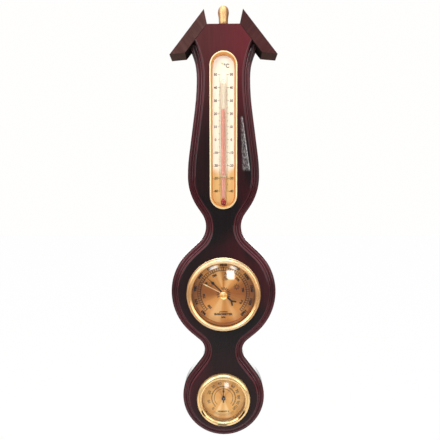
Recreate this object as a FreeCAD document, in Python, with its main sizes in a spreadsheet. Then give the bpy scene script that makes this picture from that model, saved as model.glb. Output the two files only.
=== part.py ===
import FreeCAD, Part
import math
import os
import Sketcher

# Wall barometer on a carved wooden board, with a thermometer above and a hygrometer below
# the barometer, a pitched pair of arms and a finial on top, and a keyhole hanger behind.
# Pieces are drawn with x to the right, y up and z out of the wall (board back at z = 0,
# origin at the keyhole's centre), then stood up: drawing (x, y, z) becomes (x, -z, y),
# so the finished front faces -Y and Z is up.  Millimetres and degrees throughout.

V = FreeCAD.Vector
doc = FreeCAD.newDocument("ship_barometer")
sheet = doc.addObject("Spreadsheet::Sheet", "dims")
pieces = []


# ---------------------------------------------------------------- driving dimensions
class Q:
    """A length that keeps both its value (v) and the sheet expression behind it (e)."""

    def __init__(self, value, expr):
        self.v = float(value)
        self.e = expr

    def __add__(self, other):
        o = q(other)
        return Q(self.v + o.v, "(%s + %s)" % (self.e, o.e))

    def __radd__(self, other):
        return q(other) + self

    def __sub__(self, other):
        o = q(other)
        return Q(self.v - o.v, "(%s - %s)" % (self.e, o.e))

    def __mul__(self, other):
        o = q(other)
        return Q(self.v * o.v, "(%s * %s)" % (self.e, o.e))

    def __rmul__(self, other):
        return q(other) * self

    def __truediv__(self, other):
        o = q(other)
        return Q(self.v / o.v, "(%s / %s)" % (self.e, o.e))

    def __neg__(self):
        return Q(-self.v, "(0 - %s)" % self.e)


def q(x):
    return x if isinstance(x, Q) else Q(x, "%.6f" % x)


dim_names = []


def dim(alias, value):
    dim_names.append(alias)
    row = len(dim_names)
    sheet.set("A%d" % row, alias)
    sheet.set("B%d" % row, "%.6g" % value)
    sheet.setAlias("B%d" % row, alias)
    return Q(value, "dims.%s" % alias)


# board outline, right-hand side: arc centres and radii
board_thick = dim("board_thick", 22.0)
lobe_low_y = dim("lobe_low_y", -387.0)
lobe_low_rad = dim("lobe_low_rad", 47.8)
waist_low_x = dim("waist_low_x", 37.1)
waist_low_y = dim("waist_low_y", -331.5)
waist_low_rad = dim("waist_low_rad", 15.15)
lobe_main_x = dim("lobe_main_x", -3.37)
lobe_main_y = dim("lobe_main_y", -262.3)
insert_main_y = dim("insert_main_y", -263.9)
insert_low_y = dim("insert_low_y", -388.5)
lobe_main_rad = dim("lobe_main_rad", 63.9)
waist_top_x = dim("waist_top_x", 45.2)
waist_top_y = dim("waist_top_y", -186.0)
waist_top_rad = dim("waist_top_rad", 25.05)
belly_y = dim("belly_y", -129.0)
belly_low_x = dim("belly_low_x", -21.3)
belly_low_rad = dim("belly_low_rad", 62.0)
belly_top_rad = dim("belly_top_rad", 180.0)
neck_x = dim("neck_x", 295.0)
neck_y = dim("neck_y", -19.0)
neck_rad = dim("neck_rad", 265.0)
flare_rad = dim("flare_rad", 80.0)
shoulder_x = dim("shoulder_x", 36.85)
shoulder_y = dim("shoulder_y", 13.4)
crown_x = dim("crown_x", 17.9)
crown_y = dim("crown_y", 37.55)
mould_run_y = dim("mould_run_y", 21.0)
# moulded edge
mould_lip = dim("mould_lip", 15.8)
mould_width = dim("mould_width", 9.3)
# bores and recesses
bore_main_rad = dim("bore_main_rad", 39.0)
bore_low_rad = dim("bore_low_rad", 27.5)
plate_top_y = dim("plate_top_y", -6.8)
plate_low_y = dim("plate_low_y", -150.6)
plate_rad = dim("plate_rad", 13.0)
recess_floor = dim("recess_floor", 15.5)
# arms
arm_angle = dim("arm_angle", 38.33)
arm_width = dim("arm_width", 12.6)
arm_len = dim("arm_len", 61.8)
arm_peak_x = dim("arm_peak_x", 21.45)
arm_peak_y = dim("arm_peak_y", 53.6)
arm_mitre_top = dim("arm_mitre_top", 10.4)
arm_mitre_end = dim("arm_mitre_end", 11.9)
dowel_rad = dim("dowel_rad", 2.5)
# hanger plate
key_rad = dim("key_rad", 4.5)
key_slot = dim("key_slot", 4.2)
key_thick = dim("key_thick", 1.6)
# barometer insert
bez_rad = dim("bez_rad", 42.5)
bez_open = dim("bez_open", 36.4)
case_rad = dim("case_rad", 37.5)
case_wall = dim("case_wall", 0.8)
glass_low = dim("glass_low", 24.0)
glass_thick = dim("glass_thick", 2.0)
glass_rad = dim("glass_rad", 38.2)
dial_z = dim("dial_z", 15.6)
dial_rad = dim("dial_rad", 35.4)
knob_rad = dim("knob_rad", 4.5)
shaft_rad = dim("shaft_rad", 1.5)
play = dim("play", 0.05)
hand_z = dim("hand_z", 18.2)
set_hand_z = dim("set_hand_z", 20.6)
capsule_rad = dim("capsule_rad", 15.0)
sector_dist = dim("sector_dist", 16.0)
sector_pitch = dim("sector_pitch", 15.0)
# hygrometer insert
hyg_bez_rad = dim("hyg_bez_rad", 31.0)
hyg_open = dim("hyg_open", 25.3)
hyg_case_rad = dim("hyg_case_rad", 26.4)
hyg_dial_z = dim("hyg_dial_z", 18.4)
doc.recompute()

mid_z = board_thick / 2      # dowels and finial sit at mid thickness


# ---------------------------------------------------------------- sketching
def new_body(label, exported=True):
    body = doc.addObject("PartDesign::Body", label)
    body.Label = label
    if exported:
        pieces.append(body)
    return body


def origin_feature(body, role):
    for feature in body.Origin.OriginFeatures:
        if feature.Role == role:
            return feature
    raise RuntimeError(role)


def new_sketch(body, role, offset=0.0, name="profile"):
    sketch = body.newObject("Sketcher::SketchObject", body.Label + "_" + name)
    sketch.AttachmentSupport = [(origin_feature(body, role), "")]
    sketch.MapMode = "FlatFace"
    offset = q(offset)
    if offset.v != 0.0:
        sketch.AttachmentOffset = FreeCAD.Placement(V(0, 0, offset.v), FreeCAD.Rotation())
        if "dims." in offset.e:
            sketch.setExpression("AttachmentOffset.Base.z", offset.e)
    return sketch


def constrain(sketch, kind, *args):
    """Adds a constraint whose last argument is a Q, bound to the sheet if it comes from it."""
    size = args[-1]
    number = sketch.addConstraint(Sketcher.Constraint(kind, *args[:-1], size.v))
    if "dims." in size.e:
        sketch.setExpression("Constraints[%d]" % number, size.e)


def pin(sketch, kind, axis, geo, pos, size):
    """Fixes one coordinate of a point; axis is the line on which it is zero."""
    size = q(size)
    if abs(size.v) < 1e-9:
        sketch.addConstraint(Sketcher.Constraint("PointOnObject", geo, pos, axis))
    elif size.v > 0:
        constrain(sketch, kind, -1, 1, geo, pos, size)
    else:
        constrain(sketch, kind, geo, pos, -1, 1, -size)


def pin_x(sketch, geo, pos, x):
    pin(sketch, "DistanceX", -2, geo, pos, x)


def pin_y(sketch, geo, pos, y):
    pin(sketch, "DistanceY", -1, geo, pos, y)


def circle_arc(cx, cy, rad, start, end):
    return Part.ArcOfCircle(Part.Circle(V(cx, cy, 0), V(0, 0, 1), rad), start, end)


def bulged_arc(ax, ay, bx, by, bulge):
    """Arc from a to b that stands off its chord by bulge, and its radius."""
    dx, dy = bx - ax, by - ay
    half = math.hypot(dx, dy) / 2
    rad = (half * half + bulge * bulge) / (2 * abs(bulge))
    # the centre lies on the far side of the chord from the bulge
    off = (abs(bulge) - rad) * (1 if bulge > 0 else -1)
    cx = (ax + bx) / 2 + dy / (2 * half) * off
    cy = (ay + by) / 2 - dx / (2 * half) * off
    start, end = math.atan2(ay - cy, ax - cx), math.atan2(by - cy, bx - cx)
    if bulge < 0:
        start, end = end, start
    while end < start:
        end += 2 * math.pi
    return circle_arc(cx, cy, rad, start, end), rad


def poly(sketch, points):
    """Closed outline through points; a point may be (x, y) or (x, y, bulge), where
    bulge makes the edge that leaves it an arc (positive bulges to its right)."""
    count = len(points)
    base = sketch.GeometryCount
    flips = []
    for i in range(count):
        a, b = points[i], points[(i + 1) % count]
        ax, ay, bx, by = q(a[0]).v, q(a[1]).v, q(b[0]).v, q(b[1]).v
        if len(a) > 2:
            arc, rad = bulged_arc(ax, ay, bx, by, a[2])
            sketch.addGeometry(arc, False)
            sketch.addConstraint(Sketcher.Constraint("Radius", base + i, rad))
            flips.append(a[2] < 0)
        else:
            sketch.addGeometry(Part.LineSegment(V(ax, ay, 0), V(bx, by, 0)), False)
            flips.append(False)
    for i in range(count):
        j = (i + 1) % count
        end = 1 if flips[i] else 2
        start = 2 if flips[j] else 1
        sketch.addConstraint(Sketcher.Constraint("Coincident", base + i, end, base + j, start))
    for i in range(count):
        start = 2 if flips[i] else 1
        pin_x(sketch, base + i, start, points[i][0])
        pin_y(sketch, base + i, start, points[i][1])


def rect(sketch, x0, y0, x1, y1):
    poly(sketch, [(x0, y0), (x1, y0), (x1, y1), (x0, y1)])


def ring(sketch, x, y, rad):
    x, y, rad = q(x), q(y), q(rad)
    geo = sketch.addGeometry(Part.Circle(V(x.v, y.v, 0), V(0, 0, 1), rad.v), False)
    if abs(x.v) < 1e-9 and abs(y.v) < 1e-9:
        sketch.addConstraint(Sketcher.Constraint("Coincident", geo, 3, -1, 1))
    else:
        pin_x(sketch, geo, 3, x)
        pin_y(sketch, geo, 3, y)
    constrain(sketch, "Radius", geo, rad)


def rings(sketch, table):
    """table rows: centre x, centre y, radius"""
    for x, y, rad in table:
        ring(sketch, x, y, rad)


def stadium(sketch, rad):
    """Upright slot shape on the thermometer's two centres: half circles and straight sides."""
    y_top, y_low, rad = plate_top_y, plate_low_y, q(rad)
    r = rad.v
    top = sketch.addGeometry(circle_arc(0, y_top.v, r, 0, math.pi), False)
    low = sketch.addGeometry(circle_arc(0, y_low.v, r, math.pi, 2 * math.pi), False)
    left = sketch.addGeometry(Part.LineSegment(V(-r, y_top.v, 0), V(-r, y_low.v, 0)), False)
    right = sketch.addGeometry(Part.LineSegment(V(r, y_low.v, 0), V(r, y_top.v, 0)), False)
    for geo, y in ((top, y_top), (low, y_low)):
        pin_x(sketch, geo, 3, 0)
        pin_y(sketch, geo, 3, y)
    constrain(sketch, "Radius", top, rad)
    sketch.addConstraint(Sketcher.Constraint("Tangent", top, 2, left, 1))
    sketch.addConstraint(Sketcher.Constraint("Tangent", left, 2, low, 1))
    sketch.addConstraint(Sketcher.Constraint("Tangent", low, 2, right, 1))
    sketch.addConstraint(Sketcher.Constraint("Coincident", right, 2, top, 1))
    sketch.addConstraint(Sketcher.Constraint("Vertical", left))


# ---------------------------------------------------------------- features
def set_length(feature, length):
    length = q(length)
    feature.Length = length.v
    if "dims." in length.e:
        feature.setExpression("Length", length.e)


def pad(body, sketch, length, name="pad"):
    feature = body.newObject("PartDesign::Pad", body.Label + "_" + name)
    feature.Profile = sketch
    set_length(feature, length)
    body.Tip = feature
    return feature


def finish_cut(body, feature, before):
    """Makes the cut the tip and insists that it removed something."""
    body.Tip = feature
    doc.recompute()
    if not before - body.Shape.Volume > 1e-3:
        raise RuntimeError("cut nothing: " + feature.Label)


def cut_flat(body, name, z, depth, draw, forward=False):
    """Pocket from level z: towards the wall, or away from it if forward."""
    sketch = new_sketch(body, "XY_Plane", z, name=name)
    draw(sketch)
    doc.recompute()
    before = body.Shape.Volume
    feature = body.newObject("PartDesign::Pocket", body.Label + "_" + name)
    feature.Profile = sketch
    set_length(feature, depth)
    feature.Reversed = forward
    finish_cut(body, feature, before)
    return feature


def revolve(body, sketch, name="turn"):
    doc.recompute()
    feature = body.newObject("PartDesign::Revolution", body.Label + "_" + name)
    feature.Profile = sketch
    feature.ReferenceAxis = (sketch, ["V_Axis"])
    feature.Angle = 360.0
    body.Tip = feature
    doc.recompute()


def cut_turned(body, name, outline, axis="V_Axis"):
    """Groove at mid thickness, turned about the sketch's own y axis or one of its edges."""
    sketch = new_sketch(body, "XY_Plane", mid_z, name=name)
    poly(sketch, outline)
    doc.recompute()
    before = body.Shape.Volume
    feature = body.newObject("PartDesign::Groove", body.Label + "_" + name)
    feature.Profile = sketch
    feature.ReferenceAxis = (sketch, [axis])
    feature.Angle = 360.0
    finish_cut(body, feature, before)


def repeat_round(body, feature, count, name):
    pattern = body.newObject("PartDesign::PolarPattern", name)
    pattern.Originals = [feature]
    pattern.Axis = (origin_feature(body, "Z_Axis"), [""])
    pattern.Angle = 360
    pattern.Occurrences = count
    body.Tip = pattern


def pick_edges(body, pick):
    doc.recompute()
    edges = body.Tip.Shape.Edges
    names = ["Edge%d" % (i + 1) for i, edge in enumerate(edges) if pick(edge)]
    if not names:
        raise RuntimeError("no edges picked on " + body.Label)
    return body.Tip, names


def fillet(body, size, pick):
    base = pick_edges(body, pick)
    feature = body.newObject("PartDesign::Fillet", body.Label + "_fillet")
    feature.Base = base
    feature.Radius = size
    body.Tip = feature
    doc.recompute()


def chamfer(body, size, pick):
    base = pick_edges(body, pick)
    feature = body.newObject("PartDesign::Chamfer", body.Label + "_bevel")
    feature.Base = base
    feature.Size = size
    body.Tip = feature
    doc.recompute()


def place(obj, x=0.0, y=0.0, turn=0.0):
    """Stands a piece up at drawing (x, y); turn is anticlockwise seen from the front."""
    x, y = q(x), q(y)
    rot = FreeCAD.Rotation(V(1, 0, 0), 90).multiply(FreeCAD.Rotation(V(0, 0, 1), turn))
    obj.Placement = FreeCAD.Placement(V(x.v, 0, y.v), rot)
    for axis, size in (("x", x), ("z", y)):
        if "dims." in size.e:
            obj.setExpression("Placement.Base." + axis, size.e)


# ---------------------------------------------------------------- kinds of piece
def turned(label, outline, x=0.0, y=0.0):
    """Piece turned about its own z axis; outline points are (radius, z)."""
    body = new_body(label)
    sketch = new_sketch(body, "XZ_Plane")
    poly(sketch, outline)
    revolve(body, sketch)
    place(body, x, y)
    return body


def turned_upright(label, outline, z):
    """Piece turned about the upright line x = 0 at depth z; points are (radius, y)."""
    body = new_body(label)
    sketch = new_sketch(body, "XY_Plane", z)
    poly(sketch, outline)
    revolve(body, sketch)
    place(body)
    return body


def flat_piece(label, draw, z, thick, y=0.0):
    """Flat piece from level z forward; draw adds the closed loops to a sketch."""
    body = new_body(label)
    sketch = new_sketch(body, "XY_Plane", z)
    draw(sketch)
    pad(body, sketch, thick)
    place(body, 0.0, y)
    return body


def group(label, solids, y=0.0):
    """Loose solids under one name."""
    feature = doc.addObject("Part::Feature", label)
    feature.Label = label
    feature.Shape = Part.makeCompound(solids)
    place(feature, 0.0, y)
    pieces.append(feature)


def hand(label, outline, thick, z, boss, bore_z, bore_rad, bore_depth, y, turn=0.0):
    """Hand drawn pointing up, with a turned boss and a bore from bore_z forward."""
    body = new_body(label)
    sketch = new_sketch(body, "XY_Plane", z)
    poly(sketch, outline)
    pad(body, sketch, thick)
    sketch = new_sketch(body, "XZ_Plane", name="boss")
    poly(sketch, boss)
    revolve(body, sketch, name="boss_turn")
    cut_flat(body, "bore", bore_z, bore_depth, lambda s: ring(s, 0, 0, bore_rad), forward=True)
    place(body, 0, y, turn)


def spiral(turns, r_in, r_out, width, z, height):
    """Flat spiral strip about the z axis, interpolated at 16 points a turn."""
    steps = 16
    count = int(turns * steps)
    inner, outer = [], []
    for i in range(count + 1):
        angle = 2 * math.pi * i / steps
        rad = r_in + (r_out - r_in) * i / count
        for side, points in ((-1, inner), (1, outer)):
            edge_rad = rad + side * width / 2
            points.append(V(edge_rad * math.cos(angle), edge_rad * math.sin(angle), z))
    inner_curve, outer_curve = Part.BSplineCurve(), Part.BSplineCurve()
    inner_curve.interpolate(inner)
    outer_curve.interpolate(outer)
    wire = Part.Wire([inner_curve.toShape(), Part.makeLine(inner[-1], outer[-1]),
                      outer_curve.toShape(), Part.makeLine(outer[0], inner[0])])
    return Part.Face(wire).extrude(V(0, 0, height))


# ---------------------------------------------------------------- board outline
belly_right = belly_low_x + belly_low_rad
neck_side = neck_x - neck_rad
flare_x = neck_side + flare_rad
# right-hand bends from the bottom up: centre x, centre y, radius, and 1 where the
# outline turns left round the bend (swells) or -1 where it turns right (hollows)
bends = [
    (q(0), lobe_low_y, lobe_low_rad, 1),
    (waist_low_x, waist_low_y, waist_low_rad, -1),
    (lobe_main_x, lobe_main_y, lobe_main_rad, 1),
    (waist_top_x, waist_top_y, waist_top_rad, -1),
    (belly_low_x, belly_y, belly_low_rad, 1),
    (belly_right - belly_top_rad, belly_y, belly_top_rad, 1),
    (neck_x, neck_y, neck_rad, -1),
    (flare_x, neck_y, flare_rad, -1)]
# bends that run straight on from the one before; all others are joined by a line
direct_bends = (5, 7)
bottom = (0.0, lobe_low_y.v - lobe_low_rad.v)


def tangent_points(first, second):
    """Ends of the line that touches two bends, in the direction of travel."""
    (x1, y1, r1, side1), (x2, y2, r2, side2) = first, second
    dx, dy = x2.v - x1.v, y2.v - y1.v
    off1, off2 = side1 * r1.v, side2 * r2.v
    heading = math.atan2(dy, dx) - math.asin((off2 - off1) / math.hypot(dx, dy))
    left_x, left_y = -math.sin(heading), math.cos(heading)
    return ((x1.v - off1 * left_x, y1.v - off1 * left_y),
            (x2.v - off2 * left_x, y2.v - off2 * left_y))


def add_line(sketch, start, end):
    return sketch.addGeometry(Part.LineSegment(V(*start, 0), V(*end, 0)), False)


def side_path(sketch):
    """Right-hand outline from the bottom to the shoulder, as a list of
    (geometry number, position of its first end, position of its last end)."""
    arrive, leave = [bottom], []
    for k in range(1, len(bends)):
        if k in direct_bends:
            x, y, rad, side = bends[k - 1]
            start = end = (x.v + side * rad.v, y.v)
        else:
            start, end = tangent_points(bends[k - 1], bends[k])
        leave.append(start)
        arrive.append(end)
    leave.append((shoulder_x.v, shoulder_y.v))

    path, bend_geo = [], []
    for k, (x, y, rad, side) in enumerate(bends):
        a = math.atan2(arrive[k][1] - y.v, arrive[k][0] - x.v)
        b = math.atan2(leave[k][1] - y.v, leave[k][0] - x.v)
        if side < 0:
            a, b = b, a
        while b < a:
            b += 2 * math.pi
        geo = sketch.addGeometry(circle_arc(x.v, y.v, rad.v, a, b), False)
        bend_geo.append(geo)
        path.append((geo, 1, 2) if side > 0 else (geo, 2, 1))
        if k + 1 < len(bends) and k + 1 not in direct_bends:
            path.append((add_line(sketch, leave[k], arrive[k + 1]), 1, 2))
    for a, b in zip(path[:-1], path[1:]):
        sketch.addConstraint(Sketcher.Constraint("Tangent", a[0], a[2], b[0], b[1]))
    for k, (x, y, rad, side) in enumerate(bends):
        if k not in direct_bends:
            pin_x(sketch, bend_geo[k], 3, x)
        pin_y(sketch, bend_geo[k], 3, y)
        constrain(sketch, "Radius", bend_geo[k], rad)
    pin_x(sketch, path[0][0], 1, 0.0)
    pin_y(sketch, path[-1][0], path[-1][2], shoulder_y)
    return path


board = new_body("board_blank", exported=False)
outline = new_sketch(board, "XY_Plane", name="outline")
path = side_path(outline)
crown = (crown_x.v, crown_y.v)
slope = add_line(outline, (shoulder_x.v, shoulder_y.v), crown)
crown_line = add_line(outline, crown, (0, crown_y.v))
centre_line = add_line(outline, (0, crown_y.v), bottom)
for first_geo, first_pos, second_geo, second_pos in (
        (path[-1][0], path[-1][2], slope, 1), (slope, 2, crown_line, 1),
        (crown_line, 2, centre_line, 1), (centre_line, 2, path[0][0], 1)):
    outline.addConstraint(
        Sketcher.Constraint("Coincident", first_geo, first_pos, second_geo, second_pos))
pin_x(outline, slope, 2, crown_x)
pin_y(outline, slope, 2, crown_y)
outline.addConstraint(Sketcher.Constraint("Horizontal", crown_line))
outline.addConstraint(Sketcher.Constraint("Vertical", centre_line))
board_pad = pad(board, outline, board_thick)
doc.recompute()

mirror = board.newObject("PartDesign::Mirrored", "backboard_mirror")
mirror.Originals = [board_pad]
mirror.MirrorPlane = (origin_feature(board, "YZ_Plane"), [""])
board.Tip = mirror
doc.recompute()

# ---------------------------------------------------------------- board bores and recesses
seat_half, seat_low, seat_top = 10, -24, 20      # hanger plate's seat
hanger_screw_ys = (-17, 17.2)
pilot_rad = 1.25
stud_hole_rad = 1.9

cut_flat(board, "bores", 0.0, board_thick,
         lambda s: rings(s, [(0, insert_main_y, bore_main_rad), (0, insert_low_y, bore_low_rad)]),
         forward=True)
cut_flat(board, "recess", board_thick, board_thick - recess_floor,
         lambda s: stadium(s, plate_rad))
# recess for the hanger plate, and the deeper hollow for the nail's head
cut_flat(board, "plate_seat", 0.0, key_thick,
         lambda s: rect(s, -seat_half, seat_low, seat_half, seat_top), forward=True)
cut_flat(board, "nail_room", 0.0, key_thick + 6.0,
         lambda s: rect(s, -6, -6, 6, 14), forward=True)
cut_flat(board, "pilots", 0.0, 11.0,
         lambda s: rings(s, [(0, y, pilot_rad) for y in hanger_screw_ys]), forward=True)
# finial hole, from the top edge down
cut_turned(board, "finial_hole", [
    (0, crown_y - 14.0), (stud_hole_rad, crown_y - 14.0),
    (stud_hole_rad, crown_y + 1.0), (0, crown_y + 1.0)])

# dowel stations along the right-hand shoulder slope, from the crown down
arm_sin = Q(math.sin(math.radians(arm_angle.v)), "sin(dims.arm_angle * 1 deg)")
arm_cos = Q(math.cos(math.radians(arm_angle.v)), "cos(dims.arm_angle * 1 deg)")
slope_len = math.hypot(shoulder_x.v - crown_x.v, shoulder_y.v - crown_y.v)
stations = [(crown_x.v + arm_sin.v * slope_len * t, crown_y.v - arm_cos.v * slope_len * t)
            for t in (0.3, 0.68)]


def drill(body, x, y, dir_x, dir_y, depth, name):
    """Round dowel hole at mid thickness from 1 mm behind (x, y) along the direction."""
    rad = dowel_rad.v
    start = (x - dir_x, y - dir_y)
    end = (x + dir_x * depth, y + dir_y * depth)
    cut_turned(body, name, [
        start, end, (end[0] - dir_y * rad, end[1] + dir_x * rad),
        (start[0] - dir_y * rad, start[1] + dir_x * rad)], axis="Edge1")


for side in (1, -1):
    for k, (x, y) in enumerate(stations):
        drill(board, side * x, y, -side * arm_cos.v, -arm_sin.v, 6.5,
              "dowel%d%s" % (k, "r" if side > 0 else "l"))

# ---------------------------------------------------------------- moulded edge
# Section of the waste: roundover, flat bead, shallow cove, quirk, then a quarter round
# that rises to the flat front.  Columns: inset from the outline, z, bulge to the left
# of the step.
lip, front = mould_lip.v, board_thick.v
mould_section = [
    (-2.0, lip), (0.0, lip, 0.42), (1.3, lip + 1.3), (1.75, lip + 1.3, 0.55),
    (4.3, lip + 1.5, -0.28), (6.1, lip + 1.9), (6.1, lip + 1.2), (6.75, lip + 1.2),
    (6.75, lip + 2.2, 0.95), (mould_width.v, front), (mould_width.v, front + 3.0),
    (-2.0, front + 3.0)]


def mould_face(x, y, dir_x, dir_y):
    """The section stood at (x, y), square to the direction of travel."""
    def at(inset, z):
        return V(x - dir_y * inset, y + dir_x * inset, z)

    edges = []
    for a, b in zip(mould_section, mould_section[1:] + mould_section[:1]):
        if len(a) > 2:
            du, dz = b[0] - a[0], b[1] - a[1]
            length = math.hypot(du, dz)
            middle = at((a[0] + b[0]) / 2 - dz / length * a[2],
                        (a[1] + b[1]) / 2 + du / length * a[2])
            edges.append(Part.Arc(at(a[0], a[1]), middle, at(b[0], b[1])).toShape())
        else:
            edges.append(Part.makeLine(at(*a[:2]), at(*b[:2])))
    return Part.Face(Part.Wire(edges))


def mould_cutter(curve, forward, end):
    """The section carried along one piece of the outline: straight, or turned about an arc."""
    start = curve.StartPoint if forward else curve.EndPoint
    if isinstance(curve, Part.LineSegment):
        run = end - start
        face = mould_face(start.x, start.y, run.x / run.Length, run.y / run.Length)
        return face.extrude(run)
    centre = curve.Center
    sign = 1 if forward else -1
    start_angle = math.atan2(start.y - centre.y, start.x - centre.x)
    end_angle = math.atan2(end.y - centre.y, end.x - centre.x)
    sweep = (end_angle - start_angle) * sign
    while sweep <= 0:
        sweep += 2 * math.pi
    face = mould_face(start.x, start.y,
                      -math.sin(start_angle) * sign, math.cos(start_angle) * sign)
    return face.revolve(V(centre.x, centre.y, 0), V(0, 0, 1), math.degrees(sweep) * sign)


# the last arc, the flare, runs on past the shoulder to mould_run_y
run_x = flare_x.v - math.sqrt(flare_rad.v ** 2 - (mould_run_y.v - neck_y.v) ** 2)
cutters = []
for i, (geo, first, last) in enumerate(path):
    curve = outline.Geometry[geo]
    forward = first == 1
    end = curve.EndPoint if forward else curve.StartPoint
    if i == len(path) - 1:
        end = V(run_x, mould_run_y.v, 0)
    cutter = mould_cutter(curve, forward, end)
    if cutter.Volume < 0:
        cutter.reverse()
    cutters.append(cutter)
cutters += [cutter.mirror(V(0, 0, 0), V(1, 0, 0)) for cutter in cutters]
moulded = board.Shape.copy()
for cutter in cutters:
    moulded = moulded.cut(cutter)
backboard = doc.addObject("Part::Feature", "backboard")
backboard.Label = "backboard"
backboard.Shape = moulded.removeSplitter()
place(backboard)
doc.recompute()
pieces.append(backboard)


# ---------------------------------------------------------------- arms
def arm(label, side):
    """Sloping arm above the shoulder; side is 1 on the right, -1 on the left."""
    def corner(along, across):
        return (side * (arm_peak_x + arm_sin * along - arm_cos * across),
                arm_peak_y - arm_cos * along - arm_sin * across)

    body = new_body(label)
    sketch = new_sketch(body, "XY_Plane")
    poly(sketch, [corner(0, 0), corner(arm_mitre_top, arm_width),
                  corner(arm_len - arm_mitre_end, arm_width), corner(arm_len, 0)])
    pad(body, sketch, board_thick)
    fillet(body, 0.5, lambda edge: edge.BoundBox.ZMin > board_thick.v - 1e-6)
    for k, (x, y) in enumerate(stations):
        drill(body, side * x, y, side * arm_cos.v, arm_sin.v, 7.0, "dowel%d" % k)
    place(body)


arm("left_arm", -1)
arm("right_arm", 1)

dowels = []
for side in (1, -1):
    for x, y in stations:
        direction = V(side * arm_cos.v, arm_sin.v, 0)
        start = V(side * x, y, mid_z.v) - direction * 6.2
        dowels.append(Part.makeCylinder(dowel_rad.v, 12.9, start, direction))
group("arm_dowels", dowels)

# ---------------------------------------------------------------- finial
finial = turned_upright("finial", [
    (0, crown_y), (5.5, crown_y), (5.5, crown_y + 0.9, 0.25), (5.1, crown_y + 1.9),
    (5.15, crown_y + 4.2, -0.25), (5.75, crown_y + 13.5, 0.7), (5.1, crown_y + 21.0, 0.72),
    (0.5, crown_y + 23.75), (0, crown_y + 23.75)], mid_z)
cut_turned(finial, "tap", [
    (0, crown_y - 1.0), (stud_hole_rad, crown_y - 1.0),
    (stud_hole_rad, crown_y + 7.5), (0, crown_y + 7.5)])
turned_upright("finial_stud", [
    (0, crown_y - 13.8), (1.2, crown_y - 13.8), (stud_hole_rad, crown_y - 12.8),
    (stud_hole_rad, crown_y + 7.0), (1.4, crown_y + 7.4), (0, crown_y + 7.4)], mid_z)

# ---------------------------------------------------------------- hanger
seat_gap = 0.1
slot_half = key_slot / 2.0
hanger = flat_piece(
    "hanger_plate",
    lambda s: rect(s, seat_gap - seat_half, seat_low + seat_gap,
                   seat_half - seat_gap, seat_top - seat_gap),
    0.0, key_thick)
cut_flat(hanger, "entry", 0.0, key_thick, lambda s: ring(s, 0, 0, key_rad), forward=True)
cut_flat(hanger, "slot", 0.0, key_thick,
         lambda s: poly(s, [(-slot_half, 2.0), (slot_half, 2.0),
                            (slot_half, 9.0, 2.0995), (-slot_half, 9.0)]),
         forward=True)
cut_flat(hanger, "screw_holes", 0.0, key_thick,
         lambda s: rings(s, [(0, y, 1.6) for y in hanger_screw_ys]), forward=True)


def wood_screw(y):
    """Screw driven from the back, its slotted head behind the plate."""
    head = Part.makeCylinder(2.7, 0.8, V(0, y, -0.8))
    slot = Part.makeBox(6, 0.6, 0.4, V(-3, y - 0.3, -0.85))
    shank = Part.makeCylinder(pilot_rad, 10.0, V(0, y, -0.1))
    return head.fuse(shank).cut(slot).removeSplitter()


group("hanger_screws", [wood_screw(y) for y in hanger_screw_ys])

# ---------------------------------------------------------------- thermometer
flange_thick = 1.3
scale_thick = 1.0
flange_top = board_thick + flange_thick
scale_top = recess_floor + scale_thick
tube_z = recess_floor + 4.2
clip_y = -129.0
saddle_ys = (-34.0, clip_y)
scale_pin_x, scale_pin_y = -1.2, -3.4


def on_flange_top(edge):
    return edge.BoundBox.ZMin > flange_top.v - 1e-6


def reach(edge):
    return max(-edge.BoundBox.XMin, edge.BoundBox.XMax)


def thermometer_bezel():
    body = new_body("thermometer_bezel")
    sketch = new_sketch(body, "XY_Plane", recess_floor, name="outer")
    stadium(sketch, plate_rad - 0.1)
    pad(body, sketch, board_thick - recess_floor)
    sketch = new_sketch(body, "XY_Plane", board_thick, name="flange")
    stadium(sketch, plate_rad + 2.4)
    pad(body, sketch, flange_thick, name="flange_pad")
    cut_flat(body, "opening", flange_top, flange_top - recess_floor,
             lambda s: stadium(s, plate_rad - 0.7))
    # sloping inner face, then a rounded outer edge
    chamfer(body, 1.5, lambda edge: on_flange_top(edge) and reach(edge) < 14.0)
    fillet(body, 1.0, lambda edge: on_flange_top(edge) and reach(edge) > 14.6)
    place(body)


thermometer_bezel()

scale = flat_piece("thermometer_scale", lambda s: stadium(s, plate_rad - 0.8),
                   recess_floor, scale_thick)
cut_flat(scale, "pin_hole", scale_top, scale_thick,
         lambda s: ring(s, scale_pin_x, scale_pin_y, 0.7))

# glass tube: round bore, closed domed top, bulb at the foot
turned_upright("thermometer_tube", [
    (0, -162.65), (0.3, -162.65, 0.95), (3.1, -158.85), (3.0, -154.85), (3.0, -24.4, 0.75),
    (0.3, -21.4), (0, -21.4), (0, -23.7), (0.4, -23.7), (1.4, -24.9), (1.4, -155.05),
    (2.75, -156.65), (2.75, -160.35), (0.4, -161.85), (0, -161.85)], tube_z)
turned_upright("thermometer_liquid", [
    (0, -161.75), (0.4, -161.75), (2.7, -160.3), (2.7, -156.7), (1.35, -155.15),
    (1.35, -54.3), (1.0, -54.0), (0, -54.0)], tube_z)


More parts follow.
